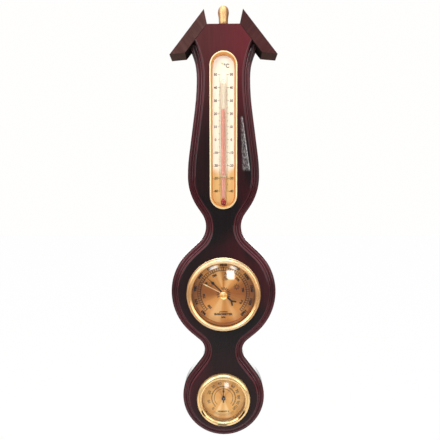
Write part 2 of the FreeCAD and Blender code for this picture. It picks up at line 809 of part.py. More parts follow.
def tube_clip(y):
    """Half band over the tube, with a leg and a foot on either side."""
    z, floor = tube_z.v, scale_top.v
    up = V(0, 1, 0)
    clip = Part.makeCylinder(3.45, 1.2, V(0, y - 0.6, z), up)
    clip = clip.cut(Part.makeCylinder(3.05, 2.4, V(0, y - 1.2, z), up))
    clip = clip.cut(Part.makeBox(9, 3, 6, V(-4.5, y - 1.5, z - 6.4)))
    leg_height = z - 0.2 - floor
    legs = Part.makeBox(0.4, 1.2, leg_height, V(3.05, y - 0.6, floor)).fuse(
        Part.makeBox(0.4, 1.2, leg_height, V(-3.45, y - 0.6, floor)))
    feet = Part.makeBox(1.5, 1.2, 0.4, V(3.05, y - 0.6, floor)).fuse(
        Part.makeBox(1.5, 1.2, 0.4, V(-4.55, y - 0.6, floor)))
    return clip.fuse(legs).fuse(feet).removeSplitter()


def tube_saddle(y):
    """Block between the scale and the tube, hollowed to the tube's radius."""
    block = Part.makeBox(3.0, 2.0, 1.2, V(-1.5, y - 1.0, scale_top.v))
    return block.cut(Part.makeCylinder(3.0, 3.0, V(0, y - 1.5, tube_z.v), V(0, 1, 0)))


group("tube_clip", [tube_clip(clip_y)])
group("tube_saddles", [tube_saddle(y) for y in saddle_ys])
turned("scale_pin", [
    (0, recess_floor), (0.65, recess_floor), (0.65, scale_top), (1.2, scale_top),
    (1.2, recess_floor + 1.2, 0.2), (0.4, recess_floor + 1.65), (0, recess_floor + 1.7)],
    scale_pin_x, scale_pin_y)

# ---------------------------------------------------------------- barometer case and glass
baro_y = insert_main_y
case_in = case_rad - case_wall
case_back = 1.0
case_floor = case_back + case_wall
glass_seat = glass_low - 0.9
glass_top = glass_low + glass_thick
glass_hole_rad = 2.6
dial_top = dial_z + 0.6

turned("barometer_case", [
    (5.0, case_back), (case_rad, case_back), (case_rad, board_thick), (40.4, board_thick),
    (40.4, board_thick + 0.7), (case_rad, board_thick + 0.7), (case_rad, glass_seat),
    (case_in, glass_seat), (case_in, case_floor), (5.0, case_floor)], y=baro_y)
turned("barometer_fit_band", [
    (case_rad, 5.0), (bore_main_rad, 5.0), (bore_main_rad, 15.0), (case_rad, 15.0)], y=baro_y)
turned("barometer_bezel", [
    (40.5, board_thick), (bez_rad, board_thick), (bez_rad, board_thick + 0.9),
    (bez_rad - 0.5, board_thick + 1.3, 0.95), (bez_rad - 2.6, 27.6), (bez_rad - 3.0, 27.6),
    (bez_rad - 3.2, 28.0, 0.12), (bez_rad - 3.9, 28.1), (bez_open, 26.6), (bez_open, 26.05),
    (glass_rad + 0.2, 26.05), (glass_rad + 0.2, board_thick + 0.75),
    (40.5, board_thick + 0.75)], y=baro_y)
turned("glass_gasket", [
    (case_in, glass_seat), (glass_rad, glass_seat),
    (glass_rad, glass_low), (case_in, glass_low)], y=baro_y)
turned("barometer_glass", [
    (glass_hole_rad, glass_low), (glass_rad, glass_low),
    (glass_rad, glass_top), (glass_hole_rad, glass_top)], y=baro_y)
turned("barometer_dial", [
    (1.3, dial_z), (dial_rad, dial_z), (dial_rad, dial_top), (1.3, dial_top)], y=baro_y)
turned("rehaut_ring", [
    (case_in, dial_top), (case_in, glass_seat),
    (case_in - 0.7, glass_seat), (dial_rad - 0.3, dial_top)], y=baro_y)
turned("dial_seat_ring", [
    (34.6, 14.0), (case_in, 14.0), (case_in, dial_top), (dial_rad + 0.05, dial_top),
    (dial_rad + 0.05, dial_z), (34.6, dial_z)], y=baro_y)

# set knob: fluted rim, dished face, shaft down through the glass
knob = turned("set_knob", [
    (0, set_hand_z - 0.6), (shaft_rad, set_hand_z - 0.6), (shaft_rad, 26.6),
    (knob_rad - 0.3, 26.6), (knob_rad, 26.9), (knob_rad, 29.3), (knob_rad - 0.5, 29.9, 0.1),
    (knob_rad - 1.1, 29.9), (2.9, 29.55), (2.2, 29.3), (1.3, 29.15), (0, 29.1)], y=baro_y)
flute = cut_flat(knob, "flute", 30.5, 3.7, lambda s: ring(s, 0, knob_rad + 0.12, 0.32))
repeat_round(knob, flute, 32, "knob_flutes")
turned("knob_bush", [
    (shaft_rad + play, 23.1), (glass_hole_rad, 23.1), (glass_hole_rad, glass_top),
    (3.6, glass_top), (3.6, 26.35), (shaft_rad + play, 26.35)], y=baro_y)
turned("bush_nut", [
    (glass_hole_rad, 23.2), (4.1, 23.2), (4.1, 24.0), (glass_hole_rad, 24.0)], y=baro_y)

# ---------------------------------------------------------------- barometer hands
arbor_rad = 0.6      # pointer arbor, and the hygrometer's

hand("pressure_hand", [
    (-0.7, 2.2), (-0.6, 15.0), (-1.85, 17.3), (-0.7, 19.3), (-0.42, 19.9), (0, 28.2),
    (0.42, 19.9), (0.7, 19.3), (1.85, 17.3), (0.6, 15.0), (0.7, 2.2), (2.3, 0.0),
    (0.95, -2.2), (0.85, -12.3), (3.9, -16.9), (2.7, -17.8), (0.0, -14.5), (-2.7, -17.8),
    (-3.9, -16.9), (-0.85, -12.3), (-0.95, -2.2), (-2.3, 0.0)],
    thick=0.35, z=hand_z,
    boss=[(0, hand_z - 0.5), (1.4, hand_z - 0.5), (1.4, hand_z + 0.7),
          (0.9, hand_z + 1.0), (0, hand_z + 1.0)],
    bore_z=hand_z - 0.6, bore_rad=arbor_rad, bore_depth=1.2, y=baro_y, turn=46.0)

hand("set_hand", [
    (-0.42, 2.0), (-0.3, 20.5), (-0.8, 22.2), (0, 27.2), (0.8, 22.2), (0.3, 20.5),
    (0.42, 2.0), (2.2, 0.0), (1.2, -1.8), (0.9, -3.6), (0.0, -4.1), (-0.9, -3.6),
    (-1.2, -1.8), (-2.2, 0.0)],
    thick=0.4, z=set_hand_z,
    boss=[(0, set_hand_z - 0.5), (2.3, set_hand_z - 0.5),
          (2.3, set_hand_z + 1.1), (0, set_hand_z + 1.1)],
    bore_z=set_hand_z - 0.6, bore_rad=shaft_rad, bore_depth=1.8, y=baro_y, turn=63.0)

# ---------------------------------------------------------------- capsule
base_top = 2.8
capsule_mid = 5.5
turned("movement_base", [(6.0, 1.8), (33.5, 1.8), (33.5, base_top), (6.0, base_top)], y=baro_y)
turned("capsule_post", [
    (0.95, base_top), (7.5, base_top), (7.5, 3.5), (3.0, 3.9), (0.95, 3.9)], y=baro_y)
# corrugated half of the capsule: radius, distance from the capsule's middle plane
capsule_section = [
    (0, 1.6), (3.5, 1.6), (5.0, 1.3), (6.5, 1.6), (8.0, 1.3), (9.5, 1.6), (11.0, 1.3),
    (capsule_rad - 1.6, 1.2), (capsule_rad - 1.0, 0.3), (capsule_rad, 0.3), (capsule_rad, 0),
    (capsule_rad - 1.3, 0), (capsule_rad - 1.9, 0.9), (11.0, 1.0), (9.5, 1.3), (8.0, 1.0),
    (6.5, 1.3), (5.0, 1.0), (3.5, 1.3), (0, 1.3)]
for label, side in (("capsule_back", -1), ("capsule_front", 1)):
    turned(label, [(r, capsule_mid + side * z) for r, z in capsule_section], y=baro_y)
turned("capsule_stud", [
    (0, 7.1), (1.2, 7.1), (1.2, 7.4), (0.9, 7.6), (0.9, 8.45), (0, 8.55)], y=baro_y)

# ---------------------------------------------------------------- bridges
lower_bridge_z, lower_bridge_thick = 10.4, 0.8
upper_bridge_z, upper_bridge_thick = 14.0, 0.7
sector_arbor_rad = 0.8
pillar_spots = [(25.0, 8.0), (-25.0, 8.0), (0.0, -27.0)]


def posts(rad, z0, z1):
    return [Part.makeCylinder(rad, z1 - z0, V(x, y, z0)) for x, y in pillar_spots]


def bridge_shape(sketch):
    """Three-legged plate with a hole for each arbor."""
    poly(sketch, [
        (-28.5, 11.0), (-28.5, 4.5), (-7.0, -10.0), (-4.0, -30.5), (4.0, -30.5),
        (7.0, -10.0), (28.5, 4.5), (28.5, 11.0), (8.0, 5.0), (-8.0, 5.0)])
    ring(sketch, 0, 0, arbor_rad + 0.05)
    ring(sketch, 0, -sector_dist, sector_arbor_rad + 0.05)


def lower_bridge_shape(sketch):
    """The same plate with a window for the rocker's upright arm."""
    bridge_shape(sketch)
    rect(sketch, 5.8, -4.6, 7.8, 0.8)


def bridge_screws():
    top = upper_bridge_z + upper_bridge_thick
    return [post.cut(Part.makeBox(3, 0.4, 0.3, V(x - 1.5, y - 0.2, 15.05)))
            for post, (x, y) in zip(posts(1.3, top, 15.3), pillar_spots)]


group("movement_pillars", posts(2.2, base_top, lower_bridge_z), y=baro_y)
flat_piece("lower_bridge", lower_bridge_shape, lower_bridge_z, lower_bridge_thick, y=baro_y)
group("bridge_spacers", posts(1.8, lower_bridge_z + lower_bridge_thick, upper_bridge_z),
      y=baro_y)
flat_piece("upper_bridge", bridge_shape, upper_bridge_z, upper_bridge_thick, y=baro_y)
group("bridge_screws", bridge_screws(), y=baro_y)
turned("pointer_arbor", [
    (0, 9.9), (arbor_rad, 9.9), (arbor_rad, 11.45), (1.1, 11.45), (1.1, 11.7),
    (arbor_rad, 11.7), (arbor_rad, hand_z + 0.6), (0, hand_z + 0.6)], y=baro_y)


# ---------------------------------------------------------------- gears
def teeth(numbers, full_count, root, tip):
    """Tooth outlines clockwise from straight up, on a wheel of full_count teeth."""
    step = 2 * math.pi / full_count
    points = []
    for i in numbers:
        for part, rad in ((-0.30, root), (-0.17, tip), (0.17, tip), (0.30, root)):
            angle = i * step + part * step
            points.append((rad * math.sin(angle), rad * math.cos(angle)))
    return points


def pinion_shape(sketch):
    poly(sketch, teeth(range(10), 10, root=0.80, tip=0.96))
    ring(sketch, 0, 0, arbor_rad)


def sector_shape(sketch):
    """Eleven teeth of a 150-tooth wheel, with a side finger and a tail."""
    pitch_rad = sector_pitch.v
    points = [(-2.6, 8.0), (-3.5, 11.5)]
    points += teeth(range(-5, 6), 150, root=pitch_rad - 0.22, tip=pitch_rad - 0.02)
    points += [
        (5.0, 15.45), (8.6, 15.45), (8.6, 14.65), (4.6, 14.65), (4.0, 12.5), (3.5, 11.5),
        (2.6, 8.0), (1.6, 1.6), (1.9, 0.0), (1.5, -1.5), (0.9, -5.5), (-0.9, -5.5),
        (-1.5, -1.5), (-1.9, 0.0), (-1.6, 1.6)]
    poly(sketch, points)
    ring(sketch, 0, 0, sector_arbor_rad)


# the pinion and the toothed sector that faces it, tips just clear
flat_piece("pinion", pinion_shape, 11.9, 1.3, y=baro_y)
flat_piece("sector_gear", sector_shape, 12.1, 0.8, y=baro_y - sector_dist)
turned("sector_arbor", [
    (0, 9.9), (sector_arbor_rad, 9.9), (sector_arbor_rad, 14.9), (0, 14.9)],
    y=baro_y - sector_dist)

# ---------------------------------------------------------------- rocker and springs
rocker_y, rocker_z = -2.0, 8.2


def rocker():
    """Shaft along x, with a short arm over the capsule stud and an upright arm that
    passes the lower bridge's window towards the sector's side finger."""
    shaft = Part.makeCylinder(0.6, 36.8, V(-18.4, rocker_y, rocker_z), V(1, 0, 0))
    hub = Part.makeBox(1.4, 1.2, 1.1, V(-0.7, rocker_y - 0.6, rocker_z))
    short_arm = Part.makeBox(1.4, 2.9, 0.4, V(-0.7, rocker_y, 8.9))
    upright_arm = Part.makeBox(0.8, 0.8, 4.6, V(6.4, rocker_y - 0.4, rocker_z))
    return shaft.fuse([hub, short_arm, upright_arm]).removeSplitter()


def bearing(x):
    block = Part.makeBox(1.2, 4.0, 6.4, V(x - 0.6, rocker_y - 2.0, base_top))
    return block.cut(Part.makeCylinder(0.65, 4.0, V(x - 2, rocker_y, rocker_z), V(1, 0, 0)))


group("rocker_shaft", rocker().Solids, y=baro_y)
group("rocker_bearings", [bearing(17.0), bearing(-17.0)], y=baro_y)

# hairspring: flat spiral above the lower bridge around the pointer arbor
group("hairspring",
      [spiral(turns=3.0, r_in=1.25, r_out=4.2, width=0.16, z=13.3, height=0.5)], y=baro_y)
turned("spring_collet", [
    (arbor_rad, 13.25), (1.17, 13.25), (1.17, 13.85), (arbor_rad, 13.85)], y=baro_y)
# pressure adjusting screw, reached through the hole in the case's back
screw_back = 1.2
adjuster = turned("adjusting_screw", [
    (0, screw_back), (2.6, screw_back), (2.6, 2.75), (0.9, 2.75), (0.9, 3.8), (0, 3.8)],
    y=baro_y)
cut_flat(adjuster, "slot", screw_back, 0.6, lambda s: rect(s, -3, -0.35, 3, 0.35),
         forward=True)

# ---------------------------------------------------------------- hygrometer insert
hyg_y = insert_low_y
hyg_wall = 0.7
hyg_in = hyg_case_rad - hyg_wall
hyg_back = 3.0
hyg_floor = hyg_back + hyg_wall
hyg_glass_z = 23.8
hyg_dial_rad = 24.9
hyg_dial_top = hyg_dial_z + 0.5
hyg_bridge_z, hyg_bridge_thick = 16.0, 0.9
hyg_hand_z = 20.4
coil_z, coil_height = 7.0, 6.0
bracket_x = 9.72

hyg_case = turned("hygrometer_case", [
    (0, hyg_back), (hyg_case_rad, hyg_back), (hyg_case_rad, board_thick),
    (28.9, board_thick), (28.9, board_thick + 0.6), (hyg_case_rad, board_thick + 0.6),
    (hyg_case_rad, hyg_glass_z), (hyg_in, hyg_glass_z), (hyg_in, hyg_floor),
    (0, hyg_floor)], y=hyg_y)
vent = cut_flat(hyg_case, "vent", hyg_back, hyg_wall,
                lambda s: rect(s, -1.2, 11.0, 1.2, 19.0), forward=True)
repeat_round(hyg_case, vent, 8, "vent_ring")
turned("hygrometer_fit_band", [
    (hyg_case_rad, 7.0), (bore_low_rad, 7.0), (bore_low_rad, 15.0), (hyg_case_rad, 15.0)],
    y=hyg_y)
turned("hygrometer_bezel", [
    (29.0, board_thick), (hyg_bez_rad, board_thick), (hyg_bez_rad, board_thick + 0.8, 1.35),
    (27.4, 27.5, 0.45), (hyg_open, 25.6), (hyg_open, 25.35), (26.4, 25.35),
    (26.4, board_thick + 0.65), (29.0, board_thick + 0.65)], y=hyg_y)
turned("hygrometer_glass", [
    (0, hyg_glass_z), (26.3, hyg_glass_z), (26.3, 25.3), (0, 25.3)], y=hyg_y)
turned("hygrometer_dial", [
    (1.1, hyg_dial_z), (hyg_dial_rad, hyg_dial_z),
    (hyg_dial_rad, hyg_dial_top), (1.1, hyg_dial_top)], y=hyg_y)
turned("hygrometer_dial_ring", [
    (24.2, 16.9), (hyg_in, 16.9), (hyg_in, 19.6), (24.6, 19.6), (24.6, hyg_dial_top),
    (24.95, hyg_dial_top), (24.95, hyg_dial_z), (24.2, hyg_dial_z)], y=hyg_y)

hand("humidity_hand", [
    (-0.4, 1.8), (-0.3, 6.6), (-1.25, 8.5), (-0.3, 10.4), (0, 15.4), (0.3, 10.4),
    (1.25, 8.5), (0.3, 6.6), (0.4, 1.8), (2.0, 0), (0.6, -1.8), (0.9, -4.7), (0, -5.3),
    (-0.9, -4.7), (-0.6, -1.8), (-2.0, 0)],
    thick=0.3, z=hyg_hand_z,
    boss=[(0, 19.7), (2.3, 19.7), (2.3, 21.1), (1.6, 21.5), (0, 21.5)],
    bore_z=19.6, bore_rad=arbor_rad, bore_depth=1.2, y=hyg_y)

turned("hygrometer_arbor", [(0, 6.0), (arbor_rad, 6.0), (arbor_rad, 20.8), (0, 20.8)], y=hyg_y)
turned("hygrometer_bush", [
    (0.65, 14.7), (1.8, 14.7), (1.8, hyg_bridge_z), (1.1, hyg_bridge_z), (1.1, 17.6),
    (0.65, 17.6)], y=hyg_y)


def hyg_bridge_shape(sketch):
    rect(sketch, -25.4, -2.5, 25.4, 2.5)
    ring(sketch, 0, 0, 1.1)


flat_piece("hygrometer_bridge", hyg_bridge_shape, hyg_bridge_z, hyg_bridge_thick, y=hyg_y)
group("hygrometer_coil",
      [spiral(turns=4.0, r_in=1.6, r_out=9.5, width=0.4, z=coil_z, height=coil_height)],
      y=hyg_y)
turned("coil_collet", [
    (arbor_rad, coil_z), (1.38, coil_z), (1.38, coil_z + coil_height),
    (arbor_rad, coil_z + coil_height)], y=hyg_y)
# bracket between the case's back and the bridge, just outside the coil
bracket_post = Part.makeBox(1.0, 3.0, 12.3, V(bracket_x, -1.5, hyg_floor))
bracket_foot = Part.makeBox(6.0, 3.0, 0.8, V(bracket_x, -1.5, hyg_floor))
group("coil_bracket", [bracket_post.fuse(bracket_foot).removeSplitter()], y=hyg_y)

# ---------------------------------------------------------------- checks and export
doc.recompute()
bad = [(obj.Label, obj.State) for obj in doc.Objects
       if "Invalid" in obj.State or "Error" in obj.State]
for piece in pieces:
    if piece.Shape.isNull() or not piece.Shape.isValid() or not piece.Shape.Solids:
        bad.append((piece.Label, "shape"))
if bad:
    raise RuntimeError("failed objects: %s" % bad)
os.makedirs("parts", exist_ok=True)
for piece in pieces:
    piece.Shape.exportStep("parts/%s.step" % piece.Label)
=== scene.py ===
# A wall weather station: a mahogany board with a thermometer at the top, a barometer below
# it and a hygrometer at the foot. The board stands upright along Z with its back at y = 0,
# faces -Y and is centred on x = 0. "Depth" is the distance in front of y = 0, in mm.
import math

import bmesh
import bpy
from mathutils import Matrix, Vector


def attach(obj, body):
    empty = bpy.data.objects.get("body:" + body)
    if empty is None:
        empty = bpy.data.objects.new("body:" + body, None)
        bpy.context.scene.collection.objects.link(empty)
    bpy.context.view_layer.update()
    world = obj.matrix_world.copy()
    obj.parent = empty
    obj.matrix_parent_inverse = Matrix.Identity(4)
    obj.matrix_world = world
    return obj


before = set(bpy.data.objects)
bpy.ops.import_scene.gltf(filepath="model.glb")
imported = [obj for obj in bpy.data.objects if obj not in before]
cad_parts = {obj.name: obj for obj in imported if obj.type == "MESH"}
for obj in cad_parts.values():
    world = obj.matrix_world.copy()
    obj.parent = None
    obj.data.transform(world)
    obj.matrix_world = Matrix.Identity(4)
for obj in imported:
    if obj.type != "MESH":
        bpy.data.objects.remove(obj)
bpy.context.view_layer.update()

scene = bpy.context.scene
scene.view_settings.view_transform = "Standard"

MM = 0.001
BAROMETER_Z = -0.2639
HYGROMETER_Z = -0.3885

# Depths of the printed plates and of the board's moulded edge, mm
BAROMETER_DIAL_DEPTH = 16.2
HYGROMETER_DIAL_DEPTH = 18.9
THERMOMETER_PLATE_DEPTH = 16.5
BOARD_DEPTH = 22.0
MOULDING_BACK = 15.0

# The camera stands in front of the board and looks slightly down and to the left
CAMERA_X = 0.0029
CAMERA_FRONT = 0.452
CAMERA_DROP = 0.150
CAMERA_PITCH = math.radians(3.7635671)
CAMERA_YAW = math.radians(0.9045950)
CAMERA_LENS = 31.090909

# Distance in front of y = 0 of the plane on which mirrored lights are placed
CARD_FRONT = 1.5


# ------------------------------------------------------------------ node helpers
def infix(operation, swapped=False):
    """An arithmetic operator that adds a math node."""
    def apply(self, other):
        operands = (other, self) if swapped else (self, other)
        return self.graph.math(operation, *operands)
    return apply


class Value:
    """A node's output. Arithmetic on it adds nodes to the same graph."""

    def __init__(self, graph, socket):
        self.graph = graph
        self.socket = socket

    __add__ = infix("ADD")
    __radd__ = infix("ADD", swapped=True)
    __sub__ = infix("SUBTRACT")
    __rsub__ = infix("SUBTRACT", swapped=True)
    __mul__ = infix("MULTIPLY")
    __truediv__ = infix("DIVIDE")
    __pow__ = infix("POWER")
    at_least = infix("MAXIMUM")
    at_most = infix("MINIMUM")

    def __neg__(self):
        return self * -1.0

    def __abs__(self):
        return self.graph.math("ABSOLUTE", self, 0.0)

    def ease(self, low, high, start=0.0, end=1.0):
        """Goes smoothly from start to end as the value goes from low to high."""
        inputs = dict(enumerate((self, low, high, start, end)))
        return self.graph.result("ShaderNodeMapRange", inputs, interpolation_type="SMOOTHSTEP")

    def fall(self, low, high):
        return self.ease(low, high, start=1.0, end=0.0)

    def between(self, low, high, soft):
        """One between low and high, with edges softened by soft on both sides."""
        return self.ease(low - soft, low + soft) * self.fall(high - soft, high + soft)


class Graph:
    """Builds nodes in an emptied node tree."""

    def __init__(self, tree):
        self.tree = tree
        tree.nodes.clear()

    def feed(self, socket, value):
        """Links a Value to an input, or sets a number, a vector or an RGB colour."""
        if isinstance(value, Value):
            self.tree.links.new(value.socket, socket)
        elif socket.type == "RGBA":
            socket.default_value = (*value, 1.0)
        else:
            socket.default_value = value

    def add(self, kind, inputs=None, **settings):
        node = self.tree.nodes.new(kind)
        for name, value in settings.items():
            setattr(node, name, value)
        for key, value in (inputs or {}).items():
            self.feed(node.inputs[key], value)
        return node

    def pick(self, node, output=0):
        return Value(self, node.outputs[output])

    def result(self, kind, inputs=None, output=0, **settings):
        return self.pick(self.add(kind, inputs, **settings), output)

    def math(self, operation, *operands, clamp=False):
        inputs = dict(enumerate(operands))
        return self.result("ShaderNodeMath", inputs, operation=operation, use_clamp=clamp)

    def split(self, vector):
        node = self.add("ShaderNodeSeparateXYZ", {0: vector})
        return tuple(Value(self, socket) for socket in node.outputs)

    def shader_mix(self, factor, first, second):
        return self.result("ShaderNodeMixShader", {0: factor, 1: first, 2: second})

    def emission(self, colour, strength):
        return self.result("ShaderNodeEmission", {0: colour, 1: strength})


class Material(Graph):
    def __init__(self, name):
        self.material = bpy.data.materials.new(name)
        self.material.use_nodes = True
        super().__init__(self.material.node_tree)
        self.output = self.add("ShaderNodeOutputMaterial")

    def math(self, operation, *operands, clamp=False):
        """As in Graph, with the operands left out set to zero."""
        padded = (operands + (0.0, 0.0))[:3]
        return super().math(operation, *padded, clamp=clamp)

    def radius(self, x, z):
        return self.math("SQRT", x * x + z * z)

    def mix(self, factor, first, second, blend="MIX"):
        inputs = {0: factor, 6: first, 7: second}
        return self.result("ShaderNodeMix", inputs, 2, data_type="RGBA", blend_type=blend)

    def colour_ramp(self, factor, stops):
        """Colours by rows of position and RGB colour."""
        node = self.add("ShaderNodeValToRGB", {0: factor})
        elements = node.color_ramp.elements
        elements.remove(elements[1])
        for number, (position, colour) in enumerate(stops):
            element = elements.new(position) if number else elements[0]
            element.position = position
            element.color = (*colour, 1.0)
        return self.pick(node)

    def position(self):
        return self.result("ShaderNodeTexCoord", output="Object")

    def true_normal(self):
        return self.result("ShaderNodeNewGeometry", output="True Normal")

    def mapping(self, vector, location=(0, 0, 0), rotation=(0, 0, 0), scale=(1, 1, 1)):
        return self.result("ShaderNodeMapping", {0: vector, 1: location, 2: rotation, 3: scale})

    def noise(self, vector, scale, detail=3.0, roughness=0.5, distortion=0.0):
        return self.result("ShaderNodeTexNoise", {
            "Vector": vector, "Scale": scale, "Detail": detail,
            "Roughness": roughness, "Distortion": distortion}, "Fac")

    def noise_1d(self, along, detail=2.0):
        inputs = {"W": along, "Scale": 1.0, "Detail": detail}
        return self.result("ShaderNodeTexNoise", inputs, "Fac", noise_dimensions="1D")

    def bump(self, height, strength, distance):
        inputs = {"Strength": strength, "Distance": distance, "Height": height}
        return self.result("ShaderNodeBump", inputs)

    def mirrored(self, plane_y):
        """Where a flat pane facing -Y reflects on the card plane, scaled back so that
        the x and z returned read as places on the pane for the scene's camera, and
        how far the surface faces the front."""
        geometry = self.add("ShaderNodeNewGeometry")
        toward_x, toward_y, toward_z = self.split(self.pick(geometry, "Incoming"))
        x, y, z = self.split(self.pick(geometry, "Position"))
        travel = (y + CARD_FRONT) / (-toward_y).at_least(0.05)
        card_x = x - toward_x * travel
        card_z = z - toward_z * travel
        spread = (2 * plane_y + CAMERA_FRONT + CARD_FRONT) / (plane_y + CAMERA_FRONT)
        pane_x = (card_x - CAMERA_X) / spread + CAMERA_X
        pane_z = (card_z + CAMERA_DROP) / spread - CAMERA_DROP
        facing = (-toward_y).ease(0.35, 0.6) * (1.0 - self.pick(geometry, "Backfacing"))
        _, normal_y, _ = self.split(self.pick(geometry, "True Normal"))
        return pane_x, pane_z, facing * normal_y.fall(-0.99, -0.95)

    def surface(self, shader):
        self.feed(self.output.inputs[0], shader)
        return self.material

    def principled(self, colour, roughness, metallic=0.0, normal=None, more=None):
        """Finishes the material; more holds further inputs by name."""
        inputs = {"Base Color": colour, "Roughness": roughness, "Metallic": metallic}
        if normal is not None:
            inputs["Normal"] = normal
        inputs.update(more or {})
        return self.surface(self.result("ShaderNodeBsdfPrincipled", inputs))


def srgb(*levels):
    """sRGB levels from 0 to 255 as a linear colour."""
    shares = (level / 255.0 for level in levels)
    return tuple(v / 12.92 if v <= 0.04045 else ((v + 0.055) / 1.055) ** 2.4 for v in shares)


def scaled(colour, factor):
    return tuple(v * factor for v in colour)


# ------------------------------------------------------------------ wood
class Wood(Material):
    """Varnished hardwood; the grain runs along Z, turned about Y by the tilt."""

    def __init__(self, name, tilt=0.0):
        super().__init__(name)
        self.place = self.position()
        along = self.mapping(self.place, rotation=(0, tilt, 0))
        streak_space = self.mapping(along, scale=(220, 220, 9))
        fibre_space = self.mapping(along, scale=(1400, 1400, 40))
        self.streaks = self.noise(streak_space, 1.0, detail=5.0, roughness=0.6, distortion=1.1)
        self.fibres = self.noise(fibre_space, 1.0, detail=3.0, roughness=0.6, distortion=0.3)
        clouds = self.noise(along, 26.0, detail=2.0)
        figure = self.streaks * 0.62 + self.fibres * 0.38
        self.figure = figure + (clouds - 0.5) * 0.35
        self.roughness = 0.15 + self.streaks * 0.10

    def figured(self, colour, dark, light):
        """The colour half multiplied by the figure, from dark to light factors."""
        factors = self.colour_ramp(self.figure, [(0.3, dark), (0.7, light)])
        return self.mix(0.5, colour, self.mix(1.0, colour, factors, "MULTIPLY"))

    def varnish(self, colour, roughness, specular, coat, haze=0.0, more=None):
        """Finishes the material under a lightly rippled coat; haze roughens the coat."""
        grain = self.bump(self.fibres + self.streaks * 0.5, strength=0.05, distance=0.00004)
        ripple = self.noise(self.place, 1500.0, detail=2.0, roughness=0.6)
        return self.principled(colour, roughness, normal=grain, more={
            "Specular IOR Level": specular,
            "Coat Weight": coat,
            "Coat Roughness": 0.025 + (self.fibres * 0.05 + haze),
            "Coat Normal": self.bump(ripple, strength=0.10, distance=0.00006),
            **(more or {})})


def arm_wood(name, tilt, dark, middle, light):
    """Wood of a sloping arm, varnished on its front only."""
    mat = Wood(name, tilt)
    colour = mat.colour_ramp(mat.figure, [(0.30, dark), (0.50, middle), (0.72, light)])
    pores = mat.fibres.ease(0.66, 0.74)
    colour = mat.mix(pores * 0.30, colour, scaled(dark, 0.5))

    # sawn mitres and undersides are oiled, not varnished
    normal = mat.true_normal()
    _, normal_y, _ = mat.split(normal)
    front = normal_y.fall(-0.95, -0.6)
    colour = mat.mix((1.0 - front) * 0.6, colour, srgb(66, 56, 50))
    # painted shade: the inward faces under each arm are darkened to near-black
    normal_x, _, normal_z = mat.split(normal)
    inward = (normal_x * (1.0 if tilt > 0 else -1.0)).ease(0.35, 0.6)
    under_shade = inward * normal_z.fall(-0.5, -0.3)
    colour = mat.mix(under_shade * 0.9, colour, srgb(20, 17, 16))
    roughness = mat.roughness + (1.0 - front) * 0.5
    return mat.varnish(colour, roughness, specular=front * 0.20, coat=front * 0.18)


# Moulding colour, the wood's red-brown with bands painted lighter as highlights on the rounds and
# darker as shade in the hollows and at the back: share of the way from the moulding's back to the
# board's front, colour
MOULDING_COLOURS = [
    (0.0, srgb(24, 13, 14)), (0.10, srgb(38, 18, 20)), (0.26, srgb(82, 36, 42)),
    (0.31, srgb(88, 42, 47)), (0.36, srgb(72, 30, 36)), (0.45, srgb(66, 26, 32)),
    (0.62, srgb(88, 34, 42)), (0.85, srgb(94, 44, 50)), (0.97, srgb(64, 30, 34)),
    (1.0, srgb(46, 22, 25)),
]
# Moulding brightness: share of the height from z = -0.45 to z = 0.05, factor
MOULDING_LIGHT = [
    (0.0, 0.58), (0.10, 0.62), (0.134, 0.72), (0.22, 0.62), (0.30, 0.86), (0.345, 0.66),
    (0.382, 0.44), (0.42, 0.74), (0.45, 1.0), (0.50, 0.80), (0.60, 0.60), (0.66, 0.46),
    (0.75, 0.66), (0.82, 0.84), (0.90, 0.95),
]


def field_colour(mat, x, z):
    """The board's flat front: near-black with red patches, painted lighter and redder at the top
    as a sheen of the light from above.
    """
    patches = mat.noise(mat.mapping(mat.place, location=(0.31, 0, 0.12)), 13.0, detail=1.5)
    red = patches.ease(0.42, 0.60)
    red = red.at_least(z.ease(-0.46, -0.40, start=0.35, end=0.0))
    red = red * x.ease(-0.02, 0.025, start=0.25).at_least(z.fall(-0.36, -0.32))
    low = mat.mix(red, srgb(23, 19, 20), srgb(50, 21, 24))
    low = mat.mix(z.ease(-0.36, -0.31, start=0.35, end=0.0), low, srgb(46, 22, 24))
    # painted sheen: the front is lighter and redder towards the top
    high = mat.mix(x.ease(-0.03, 0.04), srgb(72, 36, 37), srgb(86, 32, 38))
    colour = mat.mix(z.ease(-0.115, 0.03), low, high)
    return mat.figured(colour, dark=(0.72, 0.68, 0.68), light=(1.3, 1.2, 1.2))


def moulding_colour(mat, x, z, depth):
    """The moulded edge: painted highlight and shade bands by depth, painted light by height."""
    # painted highlights and shade: bands of colour by depth
    share = (depth - MOULDING_BACK) / (BOARD_DEPTH - MOULDING_BACK)
    colour = mat.colour_ramp(share, MOULDING_COLOURS)
    # painted shade: a thin dark line in the groove of the quirk
    quirk_shade = depth.fall(17.02, 17.09) * depth.ease(16.9, 16.98)
    colour = mat.mix(quirk_shade * 0.8, colour, srgb(24, 12, 13))
    colour = mat.figured(colour, dark=(0.7, 0.66, 0.66), light=(1.3, 1.25, 1.2))
    # shoulders that face up catch the light; the upright runs stay darker
    light = [(share, (factor,) * 3) for share, factor in MOULDING_LIGHT]
    factors = mat.colour_ramp((z + 0.45) * 2.0, light)
    colour = mat.mix(1.0, colour, factors, "MULTIPLY")
    # painted shadow darkens the moulding where the arms overhang it
    arm_shadow = z.ease(-0.014, 0.004) * abs(x).ease(0.0255, 0.0300)
    return mat.mix(arm_shadow * 0.75, colour, srgb(22, 14, 14))


def board_front(y):
    """One on the board's flat front, zero behind it."""
    return y.fall(-0.02195, -0.0216)


